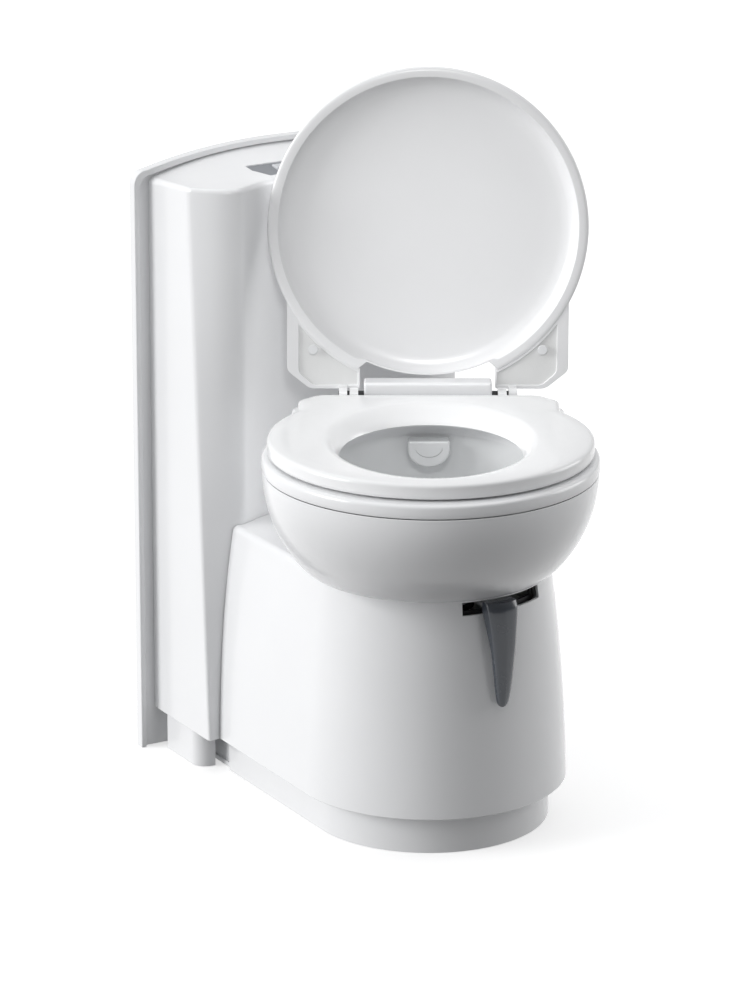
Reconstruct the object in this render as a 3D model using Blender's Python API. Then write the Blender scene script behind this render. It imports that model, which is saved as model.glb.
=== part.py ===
"""Cassette toilet for a motorhome or caravan.

A tall console stands against the wall and holds the flush-water tank. A low D-shaped pedestal in front of
it carries the turning bowl with its seat and lid, and houses the waste cassette, which slides out through
the back. Metres, +Z up. The origin is on the floor, on the axis that the bowl turns about. +Y points to
the wall and -Y to the front; the bowl stands turned by BOWL_TURN.
"""
import itertools
import math

import bmesh
import bpy
from mathutils import Matrix, Vector

# ---------------------------------------------------------------- driving dimensions
GAP = 0.0003                # between pieces that touch
SEAM = 0.001                # between curved casings that meet
WALL = 0.003                # moulded plastic thickness

WALL_Y = 0.372              # plane of the vehicle's wall
FLANGE_HALF_W = 0.208
FLANGE_RIM_Y = 0.358        # front of the flange's raised rim
FLANGE_FLOOR_Y = 0.364      # front of the flange's plate, inside the rim
FLANGE_RIM_W = 0.007
FLANGE_CORNER_Z = 0.752
ARCH_Z = 0.774              # highest point of the console

BODY_HALF_W = 0.186
BODY_BOTTOM_Z = 0.050
TOP_FRONT_Z = 0.749         # front edge of the console's top
TROUGH_R = 0.258            # hollow front, concentric with the bowl's turning axis
RIDGE_X = 0.130             # where the hollow meets the corner facet
CORNER_Y_LOW = 0.218        # side wall's front edge at the bottom
CORNER_Y_HIGH = 0.262       # and at the top

PLINTH_R = 0.149
PLINTH_H = 0.049
BASE_T = 0.006
SHELL_R_LOW = 0.170         # pedestal radius at its bottom edge
SHELL_R_HIGH = 0.1465       # and at the deck
DECK_Z = 0.3255

BAY_HALF_W = 0.142          # clear bay that the cassette slides in
BAY_TOP_Z = 0.3115
GUIDE_RAIL_X = (-0.1415, 0.1370)

PANEL_HALF_W = 0.083        # control panel in the console's top
PANEL_BACK_Y = 0.304
BUTTON_AT = (-0.030, 0.289)
FILLER_X = -0.090           # flush-water filler, in the flange
FILLER_Z = 0.600
SCREW_X = (-0.165, 0.165)   # the flange's screws, inside the console
SCREW_Z = (0.345, 0.735)
FLUSH_TANK_X = (-0.150, 0.150)
FLUSH_TANK_Y = (0.270, 0.352)
FLUSH_TANK_Z = (0.400, 0.660)

BOWL_TURN = math.radians(-30)
BOWL_BOTTOM_Z = 0.332
BOWL_TOP_Z = 0.4655
FOOT_R = 0.092              # the bowl's foot plate
# height, half width, half length and middle of the basin's inner wall, then of the outlet neck's
BASIN = ((0.4655, 0.130, 0.150, -0.100), (0.440, 0.128, 0.147, -0.0985), (0.410, 0.120, 0.138, -0.092),
         (0.380, 0.102, 0.117, -0.070), (0.358, 0.075, 0.085, -0.037), (0.345, 0.055, 0.058, -0.008))
NECK = ((0.3447, 0.055, 0.058, -0.008), (0.336, 0.048, 0.048, 0.0), (0.2730, 0.048, 0.048, 0.0))
RIM_TOP_Z = 0.4825
SEAT_BOTTOM_Z = 0.4845
SEAT_TOP_Z = 0.5045
SEAT_R = 0.193
SEAT_CENTRE_Y = -0.0897     # in front of the turning axis
LID_R = 0.195
LID_RIM_Z = 0.507
LID_DEPTH = 0.022
LID_REAR_Y = 0.0905         # the dish is cut straight in front of the hinge bar
HINGE_Y = 0.113
HINGE_Z = 0.4965
HINGE_PIN_R = 0.004
LUG_R = 0.0078              # seat and lid lugs round the pins
SEAT_LUG_X = (0.0850, 0.0955)
LID_LUG_X = (0.0985, 0.1085)
LID_OPEN = math.radians(97)

SLOT_FROM = math.radians(-15.5)   # lever slot, angle from straight ahead, + to the right
SLOT_TO = math.radians(30)
LEVER_RING_Z = (0.3035, 0.3085)

DRIVE_TEETH = 30            # on the full circle of the lever's ring
PINION_TEETH = 11
GEAR_CENTRES = 0.095        # from the turning axis to the blade's shaft
BLADE_HOLE_R = 0.042

CASSETTE_HALF_W = 0.132
CASSETTE_Y = (-0.130, 0.300)
CASSETTE_Z = (0.0075, 0.150, 0.255)   # bottom, seam between the shells, top
COVER_TOP_Z = 0.266         # mechanism cover on the cassette
WHEEL_Y = -0.045
WHEEL_Z = 0.0245
SPOUT_X = 0.088             # where the pouring spout leaves the cassette's back
SPOUT_Y = 0.338
SPOUT_Z = 0.205
SPOUT_R = 0.019
SPOUT_END_X = -0.058
HANDLE_X = (-0.110, 0.010)
HANDLE_Y = 0.3085
HANDLE_Z = 0.135

# ---------------------------------------------------------------- scene
for old in list(bpy.data.objects):
    bpy.data.objects.remove(old, do_unlink=True)
PARTS = bpy.data.collections.new("cassette_toilet")
TOOLS = bpy.data.collections.new("cutters")
bpy.context.scene.collection.children.link(PARTS)
bpy.context.scene.collection.children.link(TOOLS)


def material(name, colour, roughness, metallic=0.0):
    """A plain Principled material."""
    mat = bpy.data.materials.new(name)
    mat.use_nodes = True
    shader = mat.node_tree.nodes["Principled BSDF"]
    shader.inputs["Base Color"].default_value = (*colour, 1.0)
    shader.inputs["Roughness"].default_value = roughness
    shader.inputs["Metallic"].default_value = metallic
    return mat


WHITE = material("white_gloss", (0.86, 0.87, 0.88), 0.25)
SATIN = material("white_satin", (0.80, 0.81, 0.82), 0.45)
SLATE = material("slate_grey", (0.10, 0.115, 0.135), 0.40)
PANEL = material("panel_grey", (0.30, 0.31, 0.33), 0.45)
DARK = material("dark_plastic", (0.03, 0.03, 0.035), 0.50)
TANK = material("tank_natural", (0.62, 0.64, 0.62), 0.50)
LENS = material("clear_lens", (0.75, 0.80, 0.82), 0.10)
RUBBER = material("black_rubber", (0.02, 0.02, 0.02), 0.80)
STEEL = material("steel", (0.60, 0.60, 0.62), 0.30, 1.0)


def add(name, bm, mat, parent=None, tool=False):
    """Turns a bmesh into an object; a tool only cuts or joins others."""
    bmesh.ops.recalc_face_normals(bm, faces=bm.faces)
    mesh = bpy.data.meshes.new(name)
    bm.to_mesh(mesh)
    bm.free()
    if mat:
        mesh.materials.append(mat)
    obj = bpy.data.objects.new(name, mesh)
    (TOOLS if tool else PARTS).objects.link(obj)
    if tool:
        obj.hide_render = True
        obj.display_type = "WIRE"
    else:
        mesh.shade_smooth()
        mesh.set_sharp_from_angle(angle=math.radians(35))
    if parent:
        obj.parent = parent
    return obj


def skinned(rings, closed=False):
    """A bmesh skinned over equal-length rings, with its rows of points."""
    bm = bmesh.new()
    rows = [[bm.verts.new(point) for point in ring] for ring in rings]
    count = len(rows[0])
    pairs = list(zip(rows, rows[1:]))
    if closed:
        pairs.append((rows[-1], rows[0]))
    for low, high in pairs:
        for i in range(count):
            j = (i + 1) % count
            bm.faces.new((low[i], low[j], high[j], high[i]))
    return bm, rows


def loft(name, rings, mat=None, parent=None, tool=False, closed=False):
    """A solid through rings; closed joins the last to the first, else both ends are capped."""
    bm, rows = skinned(rings, closed)
    if not closed:
        bm.faces.new(rows[0])
        bm.faces.new(rows[-1])
    return add(name, bm, mat, parent, tool)


def ruled(name, rings, mat=None, tool=False):
    """A solid through rings whose points face each other front to back, capped with strips across."""
    bm, rows = skinned(rings)
    count = len(rings[0])
    for row in (rows[0], rows[-1]):
        for i in range(count // 2 - 1):
            bm.faces.new((row[i], row[i + 1], row[count - 2 - i], row[count - 1 - i]))
    return add(name, bm, mat, None, tool)


def tube(name, points, radius, mat):
    """A round bar or hose along a line of points."""
    curve = bpy.data.curves.new(name, "CURVE")
    curve.dimensions = "3D"
    curve.bevel_depth = radius
    curve.bevel_resolution = 2
    curve.use_fill_caps = True
    line = curve.splines.new("POLY")
    line.points.add(len(points) - 1)
    for point, place in zip(line.points, points):
        point.co = (*place, 1.0)
    curve.materials.append(mat)
    PARTS.objects.link(bpy.data.objects.new(name, curve))


def curve_through(places, steps):
    """Smooth line through a few places."""
    points = []
    for i in range(len(places) - 1):
        before, start = Vector(places[max(i - 1, 0)]), Vector(places[i])
        end, after = Vector(places[i + 1]), Vector(places[min(i + 2, len(places) - 1)])
        for step in range(steps):
            t = step / steps
            square = 2 * before - 5 * start + 4 * end - after
            cube = 3 * start - before - 3 * end + after
            points.append(0.5 * (2 * start + (end - before) * t + square * t ** 2 + cube * t ** 3))
    points.append(Vector(places[-1]))
    return points


def box(name, low, high, mat=None, parent=None, tool=False, bevel=0.0):
    """An upright box between two corners."""
    bm = bmesh.new()
    size = [b - a for a, b in zip(low, high)]
    middle = [(a + b) / 2 for a, b in zip(low, high)]
    bmesh.ops.create_cube(bm, size=1.0, matrix=Matrix.Translation(middle) @ Matrix.Diagonal((*size, 1.0)))
    if bevel:
        bmesh.ops.bevel(bm, geom=bm.edges[:], offset=bevel, segments=2, affect="EDGES", profile=0.5)
    return add(name, bm, mat, parent, tool)


TURN_TO = {"Z": Matrix.Identity(4), "X": Matrix.Rotation(math.radians(90), 4, "Y"),
           "Y": Matrix.Rotation(math.radians(-90), 4, "X")}


def rod(name, start, axis, length, radius, mat=None, parent=None, tool=False, sides=20, end_radius=None):
    """A solid cylinder or cone from start along +axis."""
    bm = bmesh.new()
    far = radius if end_radius is None else end_radius
    place = Matrix.Translation(start) @ TURN_TO[axis] @ Matrix.Translation((0, 0, length / 2))
    bmesh.ops.create_cone(bm, cap_ends=True, segments=sides, radius1=radius, radius2=far, depth=length,
                          matrix=place)
    return add(name, bm, mat, parent, tool)


def circle(radius, z, centre=(0.0, 0.0), sides=32, radius_y=None):
    """A level ring of points."""
    ry = radius if radius_y is None else radius_y
    steps = [2 * math.pi * i / sides for i in range(sides)]
    return [(centre[0] + radius * math.sin(t), centre[1] - ry * math.cos(t), z) for t in steps]


def collar(name, inner, outer, z_low, z_high, mat, parent=None, centre=(0.0, 0.0), sides=32):
    """A flat ring standing on z_low."""
    rings = [circle(inner, z_low, centre, sides), circle(outer, z_low, centre, sides),
             circle(outer, z_high, centre, sides), circle(inner, z_high, centre, sides)]
    return loft(name, rings, mat, parent, closed=True)


def boolean(target, tool, operation="DIFFERENCE"):
    """Cuts the tool from the target, or joins it on."""
    step = target.modifiers.new(tool.name, "BOOLEAN")
    step.operation = operation
    step.solver = "EXACT"
    step.object = tool


def empty(name, location, parent=None, rotation=(0.0, 0.0, 0.0)):
    """A pivot that moving pieces hang on."""
    pivot = bpy.data.objects.new(name, None)
    pivot.location = location
    pivot.rotation_euler = rotation
    pivot.parent = parent
    PARTS.objects.link(pivot)
    return pivot


# ---------------------------------------------------------------- console
def corner_y(z):
    """Front edge of the side wall: it leans back towards the top."""
    share = (z - BODY_BOTTOM_Z) / (TOP_FRONT_Z - BODY_BOTTOM_Z)
    return CORNER_Y_LOW + (CORNER_Y_HIGH - CORNER_Y_LOW) * share


def front_y(x, z):
    """Front face of the console: a hollow about the bowl's axis, and a facet out to each corner."""
    ridge = math.sqrt(TROUGH_R ** 2 - RIDGE_X ** 2)
    if abs(x) <= RIDGE_X:
        return math.sqrt(TROUGH_R ** 2 - x * x)
    share = (abs(x) - RIDGE_X) / (BODY_HALF_W - RIDGE_X)
    return ridge + (corner_y(z) - ridge) * min(share, 1.0) ** 2


def arch_z(x):
    """Back line of the console's top, just under the flange's rim."""
    return ARCH_Z - FLANGE_RIM_W - 0.0015 - 0.026 * (abs(x) / BODY_HALF_W) ** 2.4


def top_z(x, y):
    """The console's top, rising from its front edge to the arch at the back."""
    front = front_y(x, TOP_FRONT_Z)
    share = (y - front) / (FLANGE_FLOOR_Y - front)
    return TOP_FRONT_Z + (arch_z(x) - TOP_FRONT_Z) * share


def front_stations(half_w):
    """Places across the front where the outline has points."""
    half = [0.0, 0.035, 0.070, 0.100, RIDGE_X, 0.150, 0.170, half_w]
    return [-x for x in reversed(half[1:])] + half


def console_ring(z, inset, back):
    """One section through the console at height z."""
    xs = front_stations(BODY_HALF_W - inset)
    front = [(x, front_y(x, z) + inset, z) for x in xs]
    return front + [(x, back, z) for x in reversed(xs)]


def console_block(name, inset, bottom, back, **kind):
    """The console as a solid, inset from its outer faces."""
    heights = (bottom, 0.12, 0.19, 0.26, DECK_Z, 0.60, TOP_FRONT_Z - 0.012)
    rings = [console_ring(z, inset, back) for z in heights]
    edge = 0.005
    xs = front_stations(BODY_HALF_W - inset - edge)
    tops = [(x, front_y(x, TOP_FRONT_Z) + inset + edge) for x in xs]
    tops += [(x, back) for x in reversed(xs)]
    rings.append([(x, y, top_z(x, y) - inset) for x, y in tops])
    return ruled(name, rings, **kind)


def make_console_cover():
    """Sides, hollow front and top in one moulding, open behind and below."""
    back = FLANGE_FLOOR_Y - GAP
    cover = console_block("console_cover", 0.0, BODY_BOTTOM_Z, back, mat=WHITE)
    boolean(cover, console_block("cover_hollow", WALL, BODY_BOTTOM_Z - 0.01, back + 0.01, tool=True))
    bay = box("cover_bay", (-BAY_HALF_W, 0.15, 0.0), (BAY_HALF_W, 0.30, BAY_TOP_Z), tool=True)
    boolean(cover, bay)
    boolean(cover, panel_outline("cover_panel_hole", 0.0, -0.02, 0.02, tool=True))


def flange_outline(half_w, drop):
    """The arched outline of the back plate, seen from the front."""
    corner = 0.018
    steps = 6
    high = FLANGE_CORNER_Z - drop
    right = [(half_w, 0.0), (half_w, high - corner)]
    for i in range(1, 4):
        turn = math.radians(90 * i / 4)
        right.append((half_w - corner * (1 - math.cos(turn)), high - corner * (1 - math.sin(turn))))
    for i in range(steps):
        x = (half_w - corner) * (1 - i / steps)
        right.append((x, high + (ARCH_Z - FLANGE_CORNER_Z) * (1 - (x / (half_w - corner)) ** 2.2)))
    left = [(-x, z) for x, z in reversed(right)]
    return right + [(0.0, ARCH_Z - drop)] + left


def upright(points, y):
    """Stands a flat outline up at depth y."""
    return [(x, y, z) for x, z in points]


def make_back_frame():
    """The stepped wall flange: a plate with a raised rim, open low down for the cassette."""
    outer = flange_outline(FLANGE_HALF_W, 0.0)
    frame = loft("back_frame", [upright(outer, WALL_Y), upright(outer, FLANGE_RIM_Y)], WHITE)
    inner = flange_outline(FLANGE_HALF_W - FLANGE_RIM_W, FLANGE_RIM_W)
    inner = [(x, z if z > 0 else -0.01) for x, z in inner]
    pocket = loft("flange_pocket", [upright(inner, FLANGE_FLOOR_Y), upright(inner, FLANGE_RIM_Y - 0.01)],
                  tool=True)
    boolean(frame, pocket)
    half = BAY_HALF_W + 0.006
    boolean(frame, box("flange_bay", (-half, 0.34, -0.01), (half, 0.39, BAY_TOP_Z), tool=True))
    boolean(frame, rod("flange_fill_hole", (FILLER_X, 0.34, FILLER_Z), "Y", 0.05, 0.0266, tool=True,
                       sides=24))
    for x, z in itertools.product(SCREW_X, SCREW_Z):
        boolean(frame, rod("flange_screw_hole", (x, 0.34, z), "Y", 0.05, 0.0026, tool=True, sides=12))


def make_flange_screws():
    """Four pan-head screws that hold the frame to the wall, inside the console."""
    seat_y = FLANGE_FLOOR_Y - GAP
    for i, (z, x) in enumerate(itertools.product(SCREW_Z, SCREW_X), 1):
        shank = rod(f"flange_screw_{i}", (x, seat_y, z), "Y", 0.0075, 0.0022, STEEL, sides=12)
        head = rod(f"screw_head_{i}", (x, seat_y - 0.003, z), "Y", 0.003, 0.005, tool=True, sides=12)
        boolean(shank, head, "UNION")


def panel_outline(name, inset, low, high, mat=None, tool=False):
    """The panel's plan, skinned between two depths measured from the console's top."""
    half = PANEL_HALF_W - inset
    back = PANEL_BACK_Y - inset
    front = [(-half, 0.285), (-0.070 + inset, 0.262 + inset), (-0.036, 0.270 + inset), (0.0, 0.272 + inset),
             (0.036, 0.270 + inset), (0.070 - inset, 0.262 + inset), (half, 0.285)]
    plan = front + [(x, back) for x, _ in reversed(front)]
    rings = [[(x, y, top_z(x, y) + depth) for x, y in plan] for depth in (low, high)]
    return ruled(name, rings, mat, tool)


def make_control_panel():
    """Grey inset in the top with the flush key and the level lens."""
    panel = panel_outline("control_panel", GAP, -0.007, -0.0015, PANEL)
    z = top_z(*BUTTON_AT)
    boolean(panel, box("key_hole", (-0.0505, 0.2805, z - 0.02), (-0.0095, 0.2975, z + 0.02), tool=True))
    boolean(panel, box("lens_hole", (0.0145, 0.2855, z - 0.02), (0.0505, 0.2925, z + 0.02), tool=True))
    box("flush_button", (-0.050, 0.281, z - 0.007), (-0.010, 0.297, z + 0.0015), PANEL, bevel=0.0015)
    box("level_lens", (0.015, 0.286, z - 0.007), (0.050, 0.292, z - 0.0005), LENS)


# ---------------------------------------------------------------- pedestal and plinths
def pedestal_radius(z):
    """The pedestal narrows towards the deck, faster the higher it is."""
    share = (z - BODY_BOTTOM_Z) / (DECK_Z - BODY_BOTTOM_Z)
    return SHELL_R_LOW - (SHELL_R_LOW - SHELL_R_HIGH) * (0.45 * share + 0.55 * share ** 2.6)


def pedestal_ring(z, inset, back=None, half_w=None):
    """D-shaped section: a round front, straight sides, and a back that follows the console's front."""
    radius = (half_w or pedestal_radius(z)) - inset
    count = 20
    arc = [math.radians(-90 + 180 * i / count) for i in range(count + 1)]
    front = [(radius * math.sin(t), -radius * math.cos(t), z) for t in arc]
    places = [radius, RIDGE_X, 0.100, 0.070, 0.035, 0.0, -0.035, -0.070, -0.100, -RIDGE_X, -radius]
    rear = [(x, back if back else front_y(x, z) - SEAM, z) for x in places]
    return front + rear


def make_pedestal_shell():
    """Tapered casing with the deck on top, open behind, with a ledge round its foot."""
    levels = (BODY_BOTTOM_Z, 0.12, 0.20, 0.27, DECK_Z - 0.007)
    rings = [pedestal_ring(z, 0.0) for z in levels]
    rings.append(pedestal_ring(DECK_Z - 0.002, 0.002, half_w=pedestal_radius(DECK_Z - 0.007)))
    rings.append(pedestal_ring(DECK_Z, 0.008, half_w=pedestal_radius(DECK_Z - 0.007)))
    shell = loft("pedestal_shell", rings, WHITE)
    ledge = BODY_BOTTOM_Z + WALL
    foot = (BODY_BOTTOM_Z - 0.01, ledge)
    inside = [pedestal_ring(z, 0.0, back=0.30, half_w=PLINTH_R - 0.004) for z in foot]
    inside += [pedestal_ring(z, WALL, back=0.30) for z in (ledge, 0.12, 0.20, 0.27)]
    inside.append(pedestal_ring(DECK_Z - WALL, WALL + 0.004, back=0.30))
    boolean(shell, loft("pedestal_hollow", inside, tool=True))
    boolean(shell, rod("deck_hole", (0, 0, 0.30), "Z", 0.05, 0.0855, tool=True, sides=40))
    boolean(shell, slot_wedge("lever_slot", 0.120, 0.175, 0.2985, 0.3145, 0.0))


def slot_wedge(name, inner, outer, z_low, z_high, spread, mat=None, tool=True):
    """A curved bar that follows the lever's slot."""
    start, end = SLOT_FROM - spread, SLOT_TO + spread
    count = 10
    steps = [start + (end - start) * i / count for i in range(count + 1)]
    out = [(outer * math.sin(t), -outer * math.cos(t)) for t in steps]
    back = [(inner * math.sin(t), -inner * math.cos(t)) for t in reversed(steps)]
    return loft(name, [[(x, y, z) for x, y in out + back] for z in (z_low, z_high)], mat, tool=tool)


def make_lever_bezel():
    """Dark liner behind the slot, with its own slot that the lever's arm runs in."""
    bezel = slot_wedge("lever_bezel", 0.1365, 0.1400, 0.2955, 0.3165, 0.03, DARK, tool=False)
    boolean(bezel, slot_wedge("bezel_slot", 0.120, 0.175, 0.3010, 0.3110, -0.02))


def make_plinths():
    """Three recessed kick strips; narrow dark slots stay open between them."""
    outer = [pedestal_ring(z, 0.0, back=0.21, half_w=PLINTH_R)[:21] for z in (0.0, PLINTH_H)]
    side = 0.235
    strips = []
    for ring in outer:
        z = ring[0][2]
        path = [(-PLINTH_R, side, z)] + ring + [(PLINTH_R, side, z)]
        inner = [(x * 0.973, y * 0.973 if y < 0 else y, z) for x, y, _ in reversed(path)]
        strips.append(path + inner)
    loft("plinth_front", strips, WHITE)
    for name, sign in (("plinth_left", -1), ("plinth_right", 1)):
        turn = [math.radians(90 * i / 5) for i in range(6)]
        path = [(0.180, 0.342)] + [(0.160 + 0.020 * math.cos(t), 0.277 - 0.020 * math.sin(t)) for t in turn]
        inner = [(0.156, 0.257), (0.156, 0.342)]
        loft(name, [[(sign * x, y, z) for x, y in path + inner] for z in (0.0, PLINTH_H)], WHITE)


def make_base_plate():
    """Floor pan under the pedestal and the console, with a guide rail along each side."""
    half = PLINTH_R - 0.0045
    rings = [pedestal_ring(z, 0.0, back=0.3575, half_w=half) for z in (0.0, BASE_T)]
    plate = loft("base_plate", rings, SATIN)
    for x in GUIDE_RAIL_X:
        rail = box("guide_rail", (x, 0.0, BASE_T - 0.001), (x + 0.0045, 0.350, 0.045), tool=True)
        boolean(plate, rail, "UNION")


# ---------------------------------------------------------------- bowl, in its own turned frame
def shouldered(a, b, centre_y, shoulder_x, back_y, corner, z):
    """Round front, straight shoulders and a chamfered straight back."""
    count = 24
    end = math.pi - math.asin(shoulder_x / a)
    steps = [-end + 2 * end * i / count for i in range(count + 1)]
    arc = [(a * math.sin(t), centre_y - b * math.cos(t), z) for t in steps]
    back = [(shoulder_x, back_y - corner, z), (shoulder_x - corner, back_y, z),
            (corner - shoulder_x, back_y, z), (-shoulder_x, back_y - corner, z)]
    return arc + back


def facing(ring):
    """The ring's points in the order that shouldered() starts from."""
    first = len(ring) // 2 + 2
    return ring[first:] + ring[:first]


def bowl_ring(share, inset, z):
    """Outer bowl: share 0 is its foot, share 1 its top edge."""
    swell = math.sin(math.pi / 2 * share) ** 0.75 if share > 0 else 0.0

    def mix(low, high):
        return low + (high - low) * swell
    return shouldered(mix(0.144, 0.1985) - inset, mix(0.146, 0.2045) - inset, mix(-0.049, -0.0925),
                      mix(0.090, 0.165) - inset, mix(0.095, 0.125) - inset, mix(0.032, 0.022), z)


def make_bowl_shell(turn):
    """Outer bowl, open on top, with a flat foot piece in the middle that sits on the deck bearing."""
    shares = (0.0, 0.10, 0.25, 0.45, 0.70, 1.0)
    height = BOWL_TOP_Z - GAP - BOWL_BOTTOM_Z
    outside = [bowl_ring(s, 0.0, BOWL_BOTTOM_Z + height * s) for s in shares]
    inside = [bowl_ring(s, WALL, BOWL_BOTTOM_Z + max(height * s, WALL)) for s in reversed(shares)]
    count = len(outside[0])
    hole = [facing(circle(FOOT_R, z, sides=count)) for z in (BOWL_BOTTOM_Z + WALL, BOWL_BOTTOM_Z)]
    collar("bowl_foot", 0.0545, FOOT_R - SEAM, BOWL_BOTTOM_Z, BOWL_BOTTOM_Z + WALL, WHITE, turn, sides=40)
    loft("bowl_shell", outside + inside + hole, WHITE, turn, closed=True)


def make_bowl_basin(turn):
    """Inner bowl, which hangs by its lip under the rim, and the outlet neck below it."""
    top = BOWL_TOP_Z - GAP
    inside = [circle(a, min(z, top), (0, cy), 28, b) for z, a, b, cy in reversed(BASIN)]
    outside = [circle(a + WALL, z, (0, cy), 28, b + WALL) for z, a, b, cy in BASIN[1:]]
    lip = [circle(0.150, z, (0, -0.100), 28, 0.170) for z in (top, top - WALL)]
    under = [circle(BASIN[0][1] + WALL, top - WALL, (0, -0.100), 28, BASIN[0][2] + WALL)]
    loft("bowl_basin", inside + lip + under + outside, WHITE, turn, closed=True)
    bore = [circle(a, z, (0, cy), 28, b) for z, a, b, cy in reversed(NECK)]
    skin = [circle(a + WALL, z, (0, cy), 28, b + WALL) for z, a, b, cy in NECK]
    loft("outlet_neck", bore + skin, WHITE, turn, closed=True)


def make_rim_band(turn):
    """The band between the two grooves under the seat."""
    low, high = BOWL_TOP_Z, RIM_TOP_Z

    def outer(z, inset):
        return shouldered(0.1995 - inset, 0.2052 - inset, -0.0925, 0.166 - inset, 0.126 - inset, 0.022, z)
    count = len(outer(low, 0))
    hole = [facing(circle(0.127, z, (0, -0.100), count, 0.147)) for z in (high, low)]
    rings = [outer(low, 0.003), outer(low + 0.003, 0.0), outer(high - 0.005, 0.001), outer(high, 0.005)]
    loft("rim_band", rings + hole, WHITE, turn, closed=True)


def make_flush_nozzle(turn):
    """Rounded hood on the basin's rear wall that turns the flush water sideways."""
    arc = [math.radians(-180 * i / 10) for i in range(11)]
    plan = [(0.0255 * math.cos(t), 0.4525 + 0.0215 * math.sin(t)) for t in arc]
    plan = [(0.0255, 0.4640)] + plan + [(-0.0255, 0.4640)]
    hood = loft("flush_nozzle", [upright(plan, 0.0400), upright(plan, 0.0200)], WHITE, turn)
    boolean(hood, box("nozzle_mouth", (-0.019, 0.0235, 0.40), (0.019, 0.0365, 0.452), tool=True, parent=turn))


def make_swivel(turn):
    """What the bowl turns on: a collar through the deck, a retainer below and a bearing ring above."""
    collar("deck_bearing", 0.0865, 0.112, DECK_Z + GAP, BOWL_BOTTOM_Z - 0.0006, DARK, sides=40)
    collar("swivel_collar", 0.066, 0.0835, 0.3125, BOWL_BOTTOM_Z - GAP, SATIN, turn, sides=40)
    collar("swivel_retainer", 0.0838, 0.098, 0.3155, 0.3215, SATIN, turn, sides=40)


# ---------------------------------------------------------------- hinge, seat and lid

def make_hinge(turn):
    """Fixed bar between the lid's ears, and the two pins through bar, seat lugs and lid lugs."""
    bar = box("hinge_bar", (-0.078, 0.1010, RIM_TOP_Z + GAP), (0.078, 0.127, 0.5135), WHITE, turn,
              bevel=0.003)
    for side, sign in (("left", -1), ("right", 1)):
        near = 0.062 if sign > 0 else -0.109
        boolean(bar, pin_hole(f"bar_bore_{side}", sign, 0.0615, 0.09, turn))
        rod(f"hinge_pin_{side}", (near, HINGE_Y, HINGE_Z), "X", 0.047, HINGE_PIN_R, DARK, turn, sides=16)


def pin_hole(name, sign, inner, outer, parent, y=HINGE_Y, z=HINGE_Z):
    """Bore for a hinge pin."""
    start = inner if sign > 0 else -outer
    return rod(name, (start, y, z), "X", outer - inner, HINGE_PIN_R + GAP, parent=parent, tool=True, sides=16)


def lug(name, sign, span, low, high, parent):
    """An arm that reaches the hinge axis, in the pivot's own frame."""
    x0, x1 = (span[0], span[1]) if sign > 0 else (-span[1], -span[0])
    arm = box(name, (x0, low[0], low[1]), (x1, high[0], high[1]), parent=parent, tool=True)
    knuckle = rod(name + "_knuckle", (x0, 0, 0), "X", x1 - x0, LUG_R, parent=parent, tool=True, sides=20)
    return arm, knuckle


def make_seat(pivot):
    """The seat ring, in the frame of its hinge, with its rear lugs and four bumpers."""
    def outline(inset, z):
        radius = SEAT_R - inset
        ring = shouldered(radius, radius, SEAT_CENTRE_Y, 0.158 - inset, 0.0900 - inset, 0.022, z)
        return [(x, y - HINGE_Y, z - HINGE_Z) for x, y, z in ring]

    def opening(a, b, centre_y, z):
        count = len(outline(0, 0))
        return facing(circle(a, z - HINGE_Z, (0, centre_y - HINGE_Y), count, b))
    low, high = SEAT_BOTTOM_Z, SEAT_TOP_Z
    rings = [outline(0.004, low), outline(0.0005, low + 0.004), outline(0.0, high - 0.008),
             outline(0.003, high - 0.0025), outline(0.009, high), opening(0.119, 0.150, -0.104, high),
             opening(0.111, 0.133, -0.110, high - 0.012), opening(0.108, 0.127, -0.112, low)]
    seat = loft("seat_ring", rings, WHITE, pivot, closed=True)
    for side, sign in (("left", -1), ("right", 1)):
        for piece in lug(f"seat_lug_{side}", sign, SEAT_LUG_X, (-0.025, -0.0070), (0.0, 0.0070), pivot):
            boolean(seat, piece, "UNION")
        boolean(seat, pin_hole(f"seat_bore_{side}", sign, 0.08, 0.098, pivot, 0, 0))
    places = ((-0.150, -0.125), (0.150, -0.125), (-0.135, 0.050), (0.135, 0.050))
    for i, (x, y) in enumerate(places, 1):
        rod(f"seat_bumper_{i}", (x, y - HINGE_Y, RIM_TOP_Z + GAP - HINGE_Z), "Z",
            SEAT_BOTTOM_Z - RIM_TOP_Z - 2 * GAP, 0.007, RUBBER, pivot, sides=12)


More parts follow.
